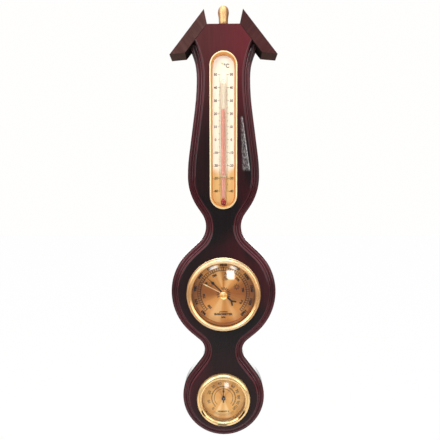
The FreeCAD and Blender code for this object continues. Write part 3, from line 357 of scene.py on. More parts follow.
def lamp_glow(mat, y):
    """A painted reflection of a tall lamp in the rippled varnish of the front, given off as a
    glow: a faint leaning strip that widens downwards, with a brighter line near its right edge."""
    pane_x, pane_z, facing = mat.mirrored(-BOARD_DEPTH * MM)
    # share of the way from the lamp's top to its foot, and its two edges there
    down = (pane_z + 0.0633) / -0.0589
    right = 0.0215 + down * 0.0086
    left = 0.0189 + down * 0.0024
    span = down.between(0.0, 1.0, soft=0.03)
    inside = (pane_x - left).ease(-0.0008, 0.0016) * (pane_x - right).fall(-0.0004, 0.0003)
    ripple_space = mat.mapping(mat.place, scale=(1000, 1000, 330))
    ripple = mat.noise(ripple_space, 1.0, detail=2.0, roughness=0.6).ease(0.46, 0.60)
    grow = down.ease(0.0, 0.5, start=0.8)
    line = abs(pane_x - (right - 0.0007)).fall(0.0, 0.0008)
    # painted reflection: the strip glows through the varnish's emission
    painted_glare = inside * (0.04 + ripple * 0.24) + line * (0.26 + ripple * 0.22)
    return painted_glare * span * grow * (facing * board_front(y))


def board_wood():
    mat = Wood("board_mahogany")
    x, y, z = mat.split(mat.place)
    depth = y * -1000.0
    field = board_front(y)
    colour = mat.mix(field, moulding_colour(mat, x, z, depth), field_colour(mat, x, z))
    side = y.ease(-0.0158, -0.0150)
    colour = mat.mix(side, colour, srgb(27, 15, 16))

    # the rear band of the moulding is matt and painted near-black as shade, the edge of the board
    # bright
    rim = depth.ease(15.0, 15.15) * depth.fall(16.75, 16.95)
    keep = 1.0 - rim * 0.95
    specular = keep * 0.20
    coat = keep * depth.ease(14.9, 15.05, start=0.9, end=0.18)
    # the ridge next to the flat front shines less
    ridge = depth.ease(20.4, 21.0) * depth.fall(21.93, 21.99)
    coat = coat * (1.0 - ridge * 0.6)
    specular = specular * (1.0 - ridge * 0.5)
    # beside the foot of the thermometer the moulding is rubbed down
    rubbed = z.between(-0.175, -0.050, soft=0.03) * (depth.ease(15.2, 15.6) * (1.0 - field))
    coat = coat * (1.0 - rubbed * 0.55)
    specular = specular * (1.0 - rubbed * 0.4)
    # painted shade: the rear band of the moulding is darkened to near-black
    colour = mat.mix(rim * 0.85, colour, srgb(20, 12, 13))
    roughness = mat.roughness + rim * 0.4

    # the back is stained but hardly varnished
    _, normal_y, _ = mat.split(mat.true_normal())
    rear = normal_y.ease(0.7, 0.95) * y.ease(-0.0003, -0.0001)
    coat = coat * (1.0 - rear * 0.95)
    roughness = roughness + rear * 0.45
    stain_and_dark_reflection = [(0.3, srgb(44, 28, 24)), (0.5, srgb(62, 40, 33)), (0.7, srgb(78, 52, 42))]
    colour = mat.mix(rear, colour, mat.colour_ramp(mat.figure, stain_and_dark_reflection))
    return mat.varnish(colour, roughness, specular, coat, haze=side * 0.14, more={
        "Emission Color": (1.0, 0.96, 0.94),
        "Emission Strength": lamp_glow(mat, y)})


# ------------------------------------------------------------------ brass
def brass(name, base, roughness, dark=None, wear=0.35, metallic=0.6, centre=None,
          inner_radius=None, shaded_inner_colour=None, side=0.0, painted_dark_reflections=()):
    """Lacquered brass: faint polishing lines, patchy roughness, darker spots and painted dark
    reflections.

    centre is the z of a round bezel's middle, or the two end middles of a long one.
    Inside inner_radius the metal takes shaded_inner_colour, a darker gold painted as the shade of
    the inner slope. side is how far the left and right flanks darken, a painted dark reflection.
    painted_dark_reflections: rows of inner radius, outer radius, start and end degrees from the
    bottom towards +X, strength; each is a darker arc painted as a reflection."""
    mat = Material(name)
    place = mat.position()
    line_space = mat.mapping(place, scale=(1, 4, 1))
    lines = mat.noise(line_space, 900.0, detail=2.0, roughness=0.6)
    patches = mat.noise(place, 60.0, detail=4.0, roughness=0.6)
    spots = mat.noise(place, 420.0, detail=2.0).ease(0.68, 0.78)
    dark = dark or scaled(base, 0.72)
    colour = mat.mix(patches * wear, base, dark)
    colour = mat.mix(spots * 0.35, colour, scaled(base, 0.5))
    if centre:
        x, _, z = mat.split(place)
        if isinstance(centre, tuple):
            low, high = centre
            rise = z - z.at_least(low).at_most(high)
        else:
            rise = z - centre
        radius = mat.radius(x, rise)
        if side > 0:
            # painted dark reflection: the left and right flanks darken
            flank = abs(x / (radius + 0.001))
            colour = mat.mix(flank.ease(0.25, 1.0) * side, colour, dark)
        if painted_dark_reflections:
            # painted dark reflections: darker arcs on the rim
            angle = mat.math("ARCTAN2", x, -rise)
            for inner, outer, start, end, strength in painted_dark_reflections:
                stain_and_dark_reflection = (radius.between(inner, outer, soft=0.0004)
                         * angle.between(math.radians(start), math.radians(end), soft=0.06))
                colour = mat.mix(stain_and_dark_reflection * strength, colour, srgb(58, 36, 20))
        # painted shade: the inner slope takes the darker shaded_inner_colour
        inside = radius.fall(inner_radius - 0.0002, inner_radius + 0.0002)
        colour = mat.mix(inside, colour, shaded_inner_colour)
    roughness = (roughness - 0.04) + (patches * 0.07 + lines * 0.05)
    return mat.principled(colour, roughness, metallic,
                          mat.bump(lines, strength=0.03, distance=0.00002))


def finial_brass():
    """Turned brass on the Z axis, with a painted highlight paler along its middle and painted
    shade at its edges, darker at its foot, with fine turning marks.
    """
    pale = srgb(216, 174, 116)
    edge = srgb(136, 84, 38)
    width = 0.0050
    foot_z = 0.0395
    mat = Material("finial_brass")
    place = mat.position()
    x, _, z = mat.split(place)
    marks = mat.noise_1d(z * 900.0)
    # painted highlight and shade: pale along the middle, darker towards the edges
    colour = mat.mix(abs(x + 0.0008).ease(width * 0.28, width * 1.05), pale, edge)
    colour = mat.mix(z.fall(foot_z, foot_z + 0.004), colour, scaled(edge, 0.6))
    patches = mat.noise(place, 90.0, detail=2.0)
    colour = mat.mix(patches * 0.05, colour, scaled(pale, 0.85))
    return mat.principled(colour, 0.42 + marks * 0.03, metallic=0.2)


# Bow-tie highlights and shade of a spun finish, painted into the colour: degrees clockwise from
# the top, width in degrees, strength (negative is painted shade)
KNOB_BOWS = [(-6, 52, 1.0), (88, 40, -1.0), (-92, 40, -1.0), (176, 56, 0.55)]
BAROMETER_BOWS = [
    (22, 26, 0.95), (-14, 14, 0.8), (-32, 10, 0.3), (0, 9, -0.6), (60, 24, -0.3),
    (86, 48, -1.0), (120, 20, -0.25), (154, 17, 0.6), (176, 14, -0.35), (-160, 26, 1.1),
    (-132, 16, 0.2), (-118, 22, -0.15), (-84, 48, -1.0), (-58, 20, -0.1),
]
HYGROMETER_BOWS = [
    (-158, 14, 0.9), (165, 14, 0.75), (-30, 26, -0.7), (12, 13, 0.6), (38, 20, -0.5),
    (100, 40, 0.35), (-110, 40, 0.35), (180, 40, 0.35),
]


def spun(name, centre_z, base, light, dark, bows, streakiness=1.0):
    """Metal with a circular spun finish, its radial bow-tie highlights and shade painted into the
    colour, with painted shade towards the rim.
    """
    mat = Material(name)
    x, _, z = mat.split(mat.position())
    rise = z - centre_z
    angle = mat.math("ARCTAN2", x, rise)
    radius = mat.radius(x, rise)
    rings = mat.noise_1d(radius * 9000.0)
    streaks = mat.noise_1d(angle * 9.0, detail=3.0)
    total = None
    for middle, width, strength in bows:
        # the sine of half the angle between wraps round the circle
        away = abs(mat.math("SINE", (angle - math.radians(middle)) * 0.5))
        bow = away.fall(0.0, math.sin(math.radians(width) / 2)) * strength
        total = bow if total is None else total + bow
    total = total + (streaks - 0.5) * (0.35 * streakiness)
    # painted highlights and shade of the bow-ties
    colour = mat.mix(total.ease(0.0, 1.0), base, light)
    colour = mat.mix(total.fall(-1.0, 0.0), colour, dark)
    colour = mat.mix(rings * 0.12, colour, scaled(base, 0.6))
    # painted shade towards the rim except at the bottom, warmer round the middle
    rim = radius.ease(0.022, 0.036) * rise.ease(-0.024, -0.012)
    colour = mat.mix(rim * 0.26, colour, srgb(160, 120, 84))
    colour = mat.mix(radius.fall(0.0, 0.016) * 0.25, colour, srgb(232, 150, 70))
    return mat.principled(
        colour, 0.34 + rings * 0.1, metallic=0.55,
        normal=mat.bump(rings, strength=0.06, distance=0.00003),
        more={
            "Anisotropic": 0.6,
            "Specular IOR Level": 0.4,
            "Tangent": mat.result("ShaderNodeTangent", direction_type="RADIAL", axis="Y")})


# ------------------------------------------------------------------ glass
def clear_glass(mat, place, gloss, roughness, edge=0.0):
    """See-through without refraction, with a sheen at grazing angles. edge is how far
    grazing views darken. Returns the shader and the smears on it."""
    geometry = mat.add("ShaderNodeNewGeometry")
    facing = mat.result("ShaderNodeVectorMath", {
        0: mat.pick(geometry, "Normal"), 1: mat.pick(geometry, "Incoming")},
        "Value", operation="DOT_PRODUCT")
    graze = mat.math("SUBTRACT", 1.0, abs(facing), clamp=True)
    sheen = 0.025 + graze ** 5.0 * 0.6
    clearness = mat.math("SUBTRACT", 1.0, graze ** 2.0 * edge, clamp=True)
    tint = mat.mix(clearness, (0.35, 0.32, 0.3), (1, 1, 1))
    through = mat.result("ShaderNodeBsdfTransparent", {0: tint})
    smears = mat.noise(place, 45.0, detail=2.0)
    reflection = mat.result("ShaderNodeBsdfGlossy", {
        "Color": (1, 1, 1), "Roughness": roughness + smears * 0.02})
    share = mat.math("MULTIPLY", sheen, gloss, clamp=True)
    return mat.shader_mix(share, through, reflection), smears


def window_glass(name, centre, half_size, soft, strength, dial_z=0.0, arcs=()):
    """A flat pane with a painted reflection of the studio window, given off as a glow, its lower
    left corner cut off.

    centre and half_size of the mirrored window are in x and z. arcs are painted bent reflections,
    also glowing,
    round dial_z: rows of inner radius, outer radius, start and end degrees clockwise
    from the top, strength."""
    mat = Material(name)
    place = mat.position()
    glass, smears = clear_glass(mat, place, gloss=1.0, roughness=0.035)
    centre_x, centre_z = centre
    half_x, half_z = half_size
    left = centre_x - half_x
    bottom = centre_z - half_z
    pane_x, pane_z, facing = mat.mirrored(-0.026)
    wobble = (mat.noise(place, 260.0, detail=2.0) - 0.5) * 0.0016
    light = ((pane_x + wobble).between(left, centre_x + half_x, soft)
             * (pane_z + wobble).between(bottom, centre_z + half_z, soft))
    corner = (pane_x - left) + (pane_z - bottom) * 1.6
    light = light * corner.ease(half_x * 0.35, half_x * 0.95)
    light = light * pane_z.ease(bottom, centre_z + half_z * 0.2,
                                start=strength * 0.75, end=strength)
    if arcs:
        x, _, z = mat.split(place)
        rise = z - dial_z
        radius = mat.radius(x, rise)
        angle = mat.math("ARCTAN2", x, rise)
        for inner, outer, start, end, arc_strength in arcs:
            arc = (radius.between(inner, outer, soft=0.0009)
                   * angle.between(math.radians(start), math.radians(end), soft=0.07))
            light = light + arc * (smears * (arc_strength * 2.0))
    # painted reflection: the window and the arcs glow on the pane
    painted_glare = mat.emission((1.0, 0.985, 0.95), light * facing)
    return mat.surface(mat.result("ShaderNodeAddShader", {0: glass, 1: painted_glare}))


def tube_glass():
    """The thermometer tube, darker at its edges, under a trace of fine dust."""
    mat = Material("tube_glass")
    place = mat.position()
    dust = mat.noise(place, 700.0, detail=2.0, roughness=0.6)
    glass, _ = clear_glass(mat, place, gloss=0.14, roughness=0.02, edge=0.55)
    film = mat.result("ShaderNodeBsdfDiffuse", {0: (1, 0.98, 0.96)})
    return mat.surface(mat.shader_mix(0.01 + dust.ease(0.5, 0.8) * 0.03, glass, film))


# ------------------------------------------------------------------ paint and enamel
def paint(name, base, roughness, metallic=0.0, grain=500.0, variation=0.12, bump=0.06):
    """Painted, printed, rubber or steel surface with a fine grain."""
    mat = Material(name)
    place = mat.position()
    grains = mat.noise(place, grain, roughness=0.6)
    patches = mat.noise(place, 70.0)
    colour = mat.mix(patches * (variation * 2), base, scaled(base, 1 - variation * 2.2))
    bright = tuple(min(1, v * 1.5 + 0.02) for v in base)
    colour = mat.mix(grains.ease(0.6, 0.75) * variation, colour, bright)
    return mat.principled(colour, roughness + (grains - 0.5) * 0.15, metallic,
                          mat.bump(grains, strength=bump, distance=0.00005))


def red_spirit():
    """Red spirit, lighter in the thin column and deep red in the bulb."""
    mat = Material("red_spirit")
    place = mat.position()
    x, _, z = mat.split(place)
    grains = mat.noise(place, 900.0, detail=2.0)
    bulb = z.fall(-0.1550, -0.1525)
    flank = abs(x).ease(0.0005, 0.0010)
    column = mat.mix(flank * 0.6, srgb(216, 110, 96), srgb(244, 200, 176))
    colour = mat.mix(bulb, column, srgb(140, 8, 10))
    colour = mat.mix(grains * 0.15, colour, srgb(170, 34, 30))
    return mat.principled(colour, 0.28 + grains * 0.1,
                          normal=mat.bump(grains, strength=0.02, distance=0.00002),
                          more={"Specular IOR Level": 0.3})


def plate_enamel():
    """The thermometer's cream plate, painted lighter towards its sides and top to offset the
    recess's shade; its foot falls into gold with a pointed top.
    """
    mat = Material("scale_plate_enamel")
    place = mat.position()
    x, _, z = mat.split(place)
    patches = mat.noise(place, 90.0)
    fine = mat.noise(mat.mapping(place, scale=(1, 1, 12)), 700.0, detail=2.0)
    height = z + (patches - 0.5) * 0.012
    height = height + abs(x).ease(0.002, 0.011) * -0.006
    gold = height.fall(-0.134, -0.120)
    edge = abs(x).ease(0.0085, 0.0125)
    # painted light: the cream is lighter towards the sides and the top, where the recess shades it
    cream = mat.mix(abs(x).ease(0.004, 0.011), srgb(238, 223, 201), srgb(248, 240, 224))
    cream = mat.mix(z.ease(-0.008, 0.004), cream, srgb(255, 250, 238))
    colour = mat.mix(gold, cream, srgb(224, 182, 120))
    colour = mat.mix(edge * gold * 0.2, colour, srgb(232, 190, 130))
    colour = mat.mix(fine * 0.08, colour, srgb(204, 170, 124))
    return mat.principled(colour, 0.58 + fine * 0.1, metallic=gold * 0.15,
                          normal=mat.bump(fine, strength=0.05, distance=0.00003),
                          more={"Specular IOR Level": 0.12})


# ------------------------------------------------------------------ finishes of the pieces
ink = paint("print_ink", srgb(20, 13, 11), roughness=0.75, grain=1500, variation=0.1, bump=0.02)
soft_ink = paint("print_ink_soft", srgb(62, 40, 30), roughness=0.75, grain=1500,
                 variation=0.1, bump=0.02)
steel = paint("steel_brushed", srgb(150, 150, 146), roughness=0.35, metallic=1.0,
              grain=1200, bump=0.1)

# Material, pieces that wear it; every other piece is steel
FINISHES = [
    (board_wood(), "backboard"),
    # the two arms are one mahogany: the left arm's lighter colours are painted light, the right
    # arm's darker ones painted shade
    (arm_wood("left_arm_mahogany", math.radians(38.3), dark=srgb(58, 36, 34),
              middle=srgb(74, 48, 45), light=srgb(86, 58, 54)), "left_arm"),
    (arm_wood("right_arm_mahogany", math.radians(-38.3), dark=srgb(50, 25, 25),
              middle=srgb(64, 34, 34), light=srgb(76, 44, 42)), "right_arm"),
    # painted shade on the bezel's inner slope and painted dark reflections on its flanks
    (brass("bezel_brass", srgb(236, 204, 160), roughness=0.24, dark=srgb(190, 132, 70),
           wear=0.15, centre=BAROMETER_Z, inner_radius=0.0372,
           shaded_inner_colour=srgb(178, 124, 66), side=0.75),
     "barometer_bezel knob_bush bush_nut"),
    # painted dark reflections on the rim and flanks of the hygrometer bezel, painted shade on its
    # inner slope
    (brass("hygrometer_bezel_brass", srgb(242, 208, 152), roughness=0.19,
           dark=srgb(222, 170, 96), wear=0.25, metallic=0.72, centre=HYGROMETER_Z,
           inner_radius=0.0250, shaded_inner_colour=srgb(226, 170, 92), side=0.25,
           painted_dark_reflections=((0.0258, 0.0278, 40, 66, 1.0), (0.0266, 0.0286, -66, -50, 1.0),
                   (0.0272, 0.0292, -14, 9, 0.9))),
     "hygrometer_bezel"),
    (brass("frame_brass", srgb(236, 180, 108), roughness=0.24),
     "tube_saddles pinion sector_gear lower_bridge upper_bridge movement_pillars "
     "bridge_spacers capsule_post capsule_stud spring_collet coil_collet hygrometer_bush"),
    # painted shade on the thermometer bezel's inner slope
    (brass("thermometer_bezel_brass", srgb(250, 220, 172), roughness=0.22, wear=0.2,
           metallic=0.5, centre=(-0.1506, -0.0068), inner_radius=0.0137,
           shaded_inner_colour=srgb(214, 144, 72)),
     "thermometer_bezel"),
    (brass("set_hand_brass", srgb(246, 214, 160), roughness=0.3, wear=0.1, metallic=0.3),
     "set_hand"),
    (spun("knob_spun_brass", BAROMETER_Z, srgb(240, 194, 116), light=srgb(255, 244, 208),
          dark=srgb(196, 138, 58), bows=KNOB_BOWS, streakiness=0.4), "set_knob"),
    (finial_brass(), "finial"),
    (brass("pin_brass", srgb(226, 210, 160), roughness=0.4, metallic=0.2), "scale_pin"),
    (brass("rehaut_brass", srgb(150, 102, 56), roughness=0.34), "rehaut_ring"),
    (brass("hygrometer_ring_brass", srgb(206, 150, 86), roughness=0.34),
     "hygrometer_dial_ring"),
    (spun("barometer_dial_spun", BAROMETER_Z, srgb(234, 160, 82), light=srgb(255, 200, 132),
          dark=srgb(170, 98, 44), bows=BAROMETER_BOWS), "barometer_dial"),
    (spun("hygrometer_dial_spun", HYGROMETER_Z, srgb(236, 178, 102),
          light=srgb(255, 214, 152), dark=srgb(196, 132, 66), bows=HYGROMETER_BOWS,
          streakiness=0.7), "hygrometer_dial"),
    (window_glass("window_glass", centre=(0.0080, -0.2404), half_size=(0.0043, 0.0052),
                  soft=0.0013, strength=0.95, dial_z=BAROMETER_Z,
                  arcs=((0.0322, 0.0352, -27, -12, 0.62), (0.0322, 0.0352, 14, 26, 0.62))),
     "barometer_glass"),
    (window_glass("hygrometer_glass", centre=(0.0035, -0.3698), half_size=(0.0025, 0.0033),
                  soft=0.0010, strength=0.62), "hygrometer_glass"),
    (tube_glass(), "thermometer_tube"),
    (red_spirit(), "thermometer_liquid"),
    (plate_enamel(), "thermometer_scale"),
    (paint("hand_black", srgb(14, 11, 10), roughness=0.4, grain=900, variation=0.1,
           bump=0.05), "pressure_hand humidity_hand"),
    (paint("clip_tinned", srgb(190, 172, 138), roughness=0.5, metallic=0.3, grain=1200,
           variation=0.10, bump=0.05), "tube_clip"),
    (paint("zinc_case", srgb(172, 168, 156), roughness=0.42, metallic=1.0, grain=260,
           variation=0.18, bump=0.12),
     "dial_seat_ring barometer_case hygrometer_case movement_base"),
    (paint("black_rubber", srgb(24, 23, 23), roughness=0.8, grain=800, variation=0.15,
           bump=0.3), "barometer_fit_band glass_gasket hygrometer_fit_band"),
    (paint("birch_dowel", srgb(196, 164, 120), roughness=0.7, grain=700, variation=0.15,
           bump=0.2), "arm_dowels"),
    (paint("capsule_nickel", srgb(190, 184, 168), roughness=0.3, metallic=1.0, grain=600,
           variation=0.1, bump=0.08), "capsule_back capsule_front"),
]
finish_of = {piece: finish for finish, pieces in FINISHES for piece in pieces.split()}
for name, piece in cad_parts.items():
    piece.data.materials.clear()
    piece.data.materials.append(finish_of.get(name, steel))


# ------------------------------------------------------------------ print on the plates
def link_mesh(name, shape):
    """Turns a bmesh into an object in the scene."""
    mesh = bpy.data.meshes.new(name)
    shape.to_mesh(mesh)
    shape.free()
    made = bpy.data.objects.new(name, mesh)
    scene.collection.objects.link(made)
    return made


def new_piece(name, shape, material, body):
    """Links a closed shape that rides on a body and takes a material slot."""
    bmesh.ops.recalc_face_normals(shape, faces=shape.faces)
    shape.normal_update()
    made = link_mesh(name, shape)
    made.data.materials.append(material)
    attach(made, body)
    return made


def polar(radius, angle):
    """A point at an angle in degrees, clockwise from the top."""
    return radius * math.sin(math.radians(angle)), radius * math.cos(math.radians(angle))


class Print:
    """Flat ink on a plate's front. Points are (across, up) in mm about a centre."""

    thickness = 0.03

    def __init__(self, centre_z, depth):
        self.shape = bmesh.new()
        self.centre_z = centre_z
        self.depth = depth

    def vertex(self, across, up, proud):
        """A vertex standing proud of the plate's front, in mm."""
        place = (across * MM, -(self.depth + proud) * MM, self.centre_z + up * MM)
        return self.shape.verts.new(place)

    def outline(self, points):
        """Closed prism from an outline."""
        followers = points[1:] + points[:1]
        area = sum(p[0] * q[1] - q[0] * p[1] for p, q in zip(points, followers))
        if area < 0:
            points = points[::-1]
        low = [self.vertex(*point, 0) for point in points]
        high = [self.vertex(*point, self.thickness) for point in points]
        self.shape.faces.new(high)
        self.shape.faces.new(low[::-1])
        for i in range(len(points)):
            j = (i + 1) % len(points)
            self.shape.faces.new((low[i], low[j], high[j], high[i]))

    def bar(self, start, end, width):
        run, rise = end[0] - start[0], end[1] - start[1]
        length = math.hypot(run, rise)
        x = -rise / length * width / 2
        y = run / length * width / 2
        self.outline([(start[0] - x, start[1] - y), (end[0] - x, end[1] - y),
                      (end[0] + x, end[1] + y), (start[0] + x, start[1] + y)])

    def tick(self, angle, inner, outer, width):
        """A radial bar between two radii."""
        self.bar(polar(inner, angle), polar(outer, angle), width)

    def arc(self, radius, width, start, end):
        """Curved band between two angles clockwise from the top."""
        steps = max(6, int(abs(end - start) / 2.0))
        inner, outer = radius - width / 2, radius + width / 2
        sections = []
        for i in range(steps + 1):
            angle = start + (end - start) * i / steps
            corners = ((inner, 0), (outer, 0), (outer, self.thickness), (inner, self.thickness))
            sections.append([self.vertex(*polar(r, angle), proud) for r, proud in corners])
        for this, following in zip(sections, sections[1:]):
            for k in range(4):
                j = (k + 1) % 4
                self.shape.faces.new((this[k], following[k], following[j], this[j]))
        self.shape.faces.new(sections[0])
        self.shape.faces.new(sections[-1][::-1])

    def text(self, body, height, across, up, turn=0.0, stretch=1.0, heavy=0.0):
        """Lettering with capitals of a height, centred on a point, turned clockwise
        by degrees, stretched sideways and thickened."""
        curve = bpy.data.curves.new("txt", "FONT")
        curve.body = body
        curve.size = height / 0.72
        curve.resolution_u = 3
        curve.extrude = self.thickness / 2
        curve.offset = heavy
        curve.align_x = "CENTER"
        holder = bpy.data.objects.new("txt", curve)
        scene.collection.objects.link(holder)
        depsgraph = bpy.context.evaluated_depsgraph_get()
        mesh = bpy.data.meshes.new_from_object(holder.evaluated_get(depsgraph))
        xs = [vertex.co.x for vertex in mesh.vertices]
        ys = [vertex.co.y for vertex in mesh.vertices]
        middle_x, middle_y = (min(xs) + max(xs)) / 2, (min(ys) + max(ys)) / 2
        cosine, sine = math.cos(math.radians(turn)), math.sin(math.radians(turn))
        letters = bmesh.new()
        letters.from_mesh(mesh)
        bmesh.ops.remove_doubles(letters, verts=letters.verts, dist=1e-5)
        copies = {}
        for vertex in letters.verts:
            x, y = (vertex.co.x - middle_x) * stretch, vertex.co.y - middle_y
            copies[vertex.index] = self.vertex(x * cosine + y * sine + across,
                                               -x * sine + y * cosine + up,
                                               vertex.co.z + self.thickness / 2)
        for face in letters.faces:
            # guards against faces left double where vertices were merged
            try:
                self.shape.faces.new([copies[vertex.index] for vertex in face.verts])
            except ValueError:
                pass
        letters.free()
        bpy.data.objects.remove(holder)
        bpy.data.curves.remove(curve)
        bpy.data.meshes.remove(mesh)

    def cloud(self, across, up, size):
        """Outline of a cloud with three lobes."""
        # Lobe centre across and up, radius, start and end degrees
        lobes = ((-2.0, 0.0, 1.25, 270, 120), (-0.5, 1.1, 1.5, 160, 30), (1.5, 0.3, 1.4, 75, -90))
        points = []
        for x, y, radius, start, end in lobes:
            for i in range(9):
                angle = math.radians(start + (end - start) * i / 8)
                points.append((across + size * (x + radius * math.cos(angle)),
                               up + size * (y + radius * math.sin(angle))))
        for start, end in zip(points, points[1:] + points[:1]):
            self.bar(start, end, width=0.3)

    def sun(self, across, up, radius, ray, sides=20, rays=8):
        """A ring with rays standing off it."""
        def point(distance, i, count):
            angle = 2 * math.pi * i / count
            return across + distance * math.cos(angle), up + distance * math.sin(angle)

        for i in range(sides):
            self.bar(point(radius, i, sides), point(radius, i + 1, sides), width=0.6)
        root = radius + 0.5
        for i in range(rays):
            self.bar(point(root, i, rays), point(root + ray, i, rays), width=0.8)

    def finish(self, name, material):
        new_piece(name, self.shape, material, "case")


def barometer_outer_scale():
    """Hectopascals, 960 to 1060, with 1010 at the top."""
    art = Print(BAROMETER_Z, BAROMETER_DIAL_DEPTH)
    for pressure in range(960, 1061):
        angle = (pressure - 1010) * 2.7
        if pressure % 10 == 0:
            art.tick(angle, 26.7, 30.8, width=0.75)
            art.text(str(pressure), 3.0, *polar(33.1, angle), angle, stretch=1.05, heavy=0.26)
        elif pressure % 2 == 0:
            art.tick(angle, 27.0, 30.0, width=0.62)
    art.arc(30.1, 0.42, -135.3, 135.3)
    art.finish("barometer_scale_outer", ink)


def barometer_inner_scale():
    """Millimetres of mercury, 720 to 790."""
    art = Print(BAROMETER_Z, BAROMETER_DIAL_DEPTH)
    rim = 26.8
    for pressure in range(720, 791):
        angle = -135.2 + (pressure - 720) * 3.6
        if pressure % 10 == 0:
            art.tick(angle, 25.1, rim, width=0.46)
            art.text(str(pressure), 2.5, *polar(22.9, angle), angle, heavy=0.24)
        elif pressure % 5 == 0:
            art.tick(angle, 25.6, rim, width=0.38)
        else:
            art.tick(angle, 26.0, rim, width=0.28)
    art.arc(rim, 0.62, -135.3, 135.3)
    art.finish("barometer_scale_inner", ink)


def weather_symbols():
    """Rain cloud at the left, sun behind cloud at the top, sun at the right."""
    art = Print(BAROMETER_Z, BAROMETER_DIAL_DEPTH)
    across, up = polar(17.6, -57)
    art.cloud(across, up, size=1.0)
    for shift in (-1.4, 0.0, 1.4):
        drop = across + shift
        art.bar((drop, up - 2.0), (drop - 0.5, up - 3.4), width=0.3)
    across, up = polar(17.0, 0)
    art.sun(across + 3.0, up + 1.1, radius=1.2, ray=1.0)
    art.cloud(across + 1.8, up - 0.7, size=0.85)
    across, up = polar(17.6, 59)
    art.sun(across + 0.2, up - 1.7, radius=1.7, ray=1.3)
    art.finish("weather_symbols", ink)


def barometer_lettering():
    """Words at the bottom, and short bars fanned about a point below the centre."""
    art = Print(BAROMETER_Z, BAROMETER_DIAL_DEPTH)
    art.text("BAROMETER", 2.3, 0, -25.0, stretch=1.16, heavy=0.20)
    art.text("hPa", 2.0, 0, -28.6, stretch=1.15, heavy=0.16)
    art.text("precision", 1.6, 0, -22.3, stretch=1.15, heavy=0.14)
    fan_drop = 1.2
    for angle in (-118, -98, -78, -14, 6, 24, 42, 60, 78, 96, 114):
        ends = [(x, y - fan_drop) for x, y in (polar(5.2, angle), polar(8.2, angle))]
        art.bar(*ends, width=0.9)
    art.finish("barometer_lettering", ink)


# Humidity in percent, degrees clockwise from the top
HUMIDITY_ANGLES = [
    (0, -137), (10, -105), (20, -69), (30, -42), (40, -15.5), (50, 11.5),
    (60, 38), (70, 63), (80, 87), (90, 108), (100, 131),
]


def hygrometer_scale():
    art = Print(HYGROMETER_Z, HYGROMETER_DIAL_DEPTH)
    ring = 13.7
    first, last = HUMIDITY_ANGLES[0][1], HUMIDITY_ANGLES[-1][1]
    # Outer radius and width of the ticks at a ten and at a five
    ticks = {0: (15.3, 0.42), 5: (14.9, 0.34)}
    for (_, start), (_, end) in zip(HUMIDITY_ANGLES[:-1], HUMIDITY_ANGLES[1:]):
        for i in range(10):
            outer, width = ticks.get(i, (14.6, 0.24))
            art.tick(start + (end - start) * i / 10, ring, outer, width)
    art.tick(last, ring, 15.2, width=0.36)
    art.arc(ring, 0.55, first, last)
    art.arc(10.9, 0.5, first, last)
    for humidity, angle in HUMIDITY_ANGLES:
        art.text(str(humidity), 3.2, *polar(17.9, angle), angle, stretch=1.05, heavy=0.06)
    art.text("HUMIDITY %", 1.8, 0, -16.6, stretch=0.95, heavy=0.14)
    art.arc(19.9, 0.22, 142, 218)
    art.arc(21.2, 0.16, 146, 214)
    art.finish("hygrometer_scale", soft_ink)


def thermometer_print():
    """Degrees Celsius from -40 to 50 on both sides of the tube."""
    art = Print(0.0, THERMOMETER_PLATE_DEPTH)
    top, pitch, inner = -15.2, 1.4478, 3.4
    for degree in range(-40, 51):
        up = top + (degree - 50) * pitch
        if degree % 10 == 0:
            outer, width = 6.2, 0.46
        elif degree % 5 == 0:
            outer, width = 5.5, 0.40
        else:
            outer, width = 4.7, 0.34
        for side in (-1, 1):
            art.bar((side * inner, up), (side * outer, up), width)
        if degree % 10 == 0:
            for side in (-1, 1):
                art.text(str(degree), 2.9, side * 8.9, up, stretch=0.92, heavy=0.12)
    art.text("°C", 4.3, 3.4, -5.7, stretch=0.95, heavy=0.16)
    art.finish("thermometer_print", ink)


barometer_outer_scale()
barometer_inner_scale()
weather_symbols()
barometer_lettering()
hygrometer_scale()
thermometer_print()


# ------------------------------------------------------------------ small added pieces
def opal_strip():
    """Opal strip fused in the back of the tube, which makes the column readable."""
    tube_depth = 19.7
    outer, inner = 2.75, 2.35
    top_z, bottom_z = -0.0255, -0.1530

    def arc(radius):
        angles = [math.radians(205 + 130 * i / 12) for i in range(13)]
        return [(radius * math.cos(angle), radius * math.sin(angle)) for angle in angles]

    profile = arc(outer) + arc(inner)[::-1]
    shape = bmesh.new()
    top, bottom = [
        [shape.verts.new((x * MM, -(tube_depth + y) * MM, z)) for x, y in profile]
        for z in (top_z, bottom_z)]
    for i in range(len(profile)):
        j = (i + 1) % len(profile)
        shape.faces.new((top[i], top[j], bottom[j], bottom[i]))
    shape.faces.new(top)
    shape.faces.new(bottom[::-1])
    opal = paint("opal_white", srgb(214, 200, 174), roughness=0.6, grain=400,
                 variation=0.04, bump=0.02)
    new_piece("tube_opal_strip", shape, opal, "case")


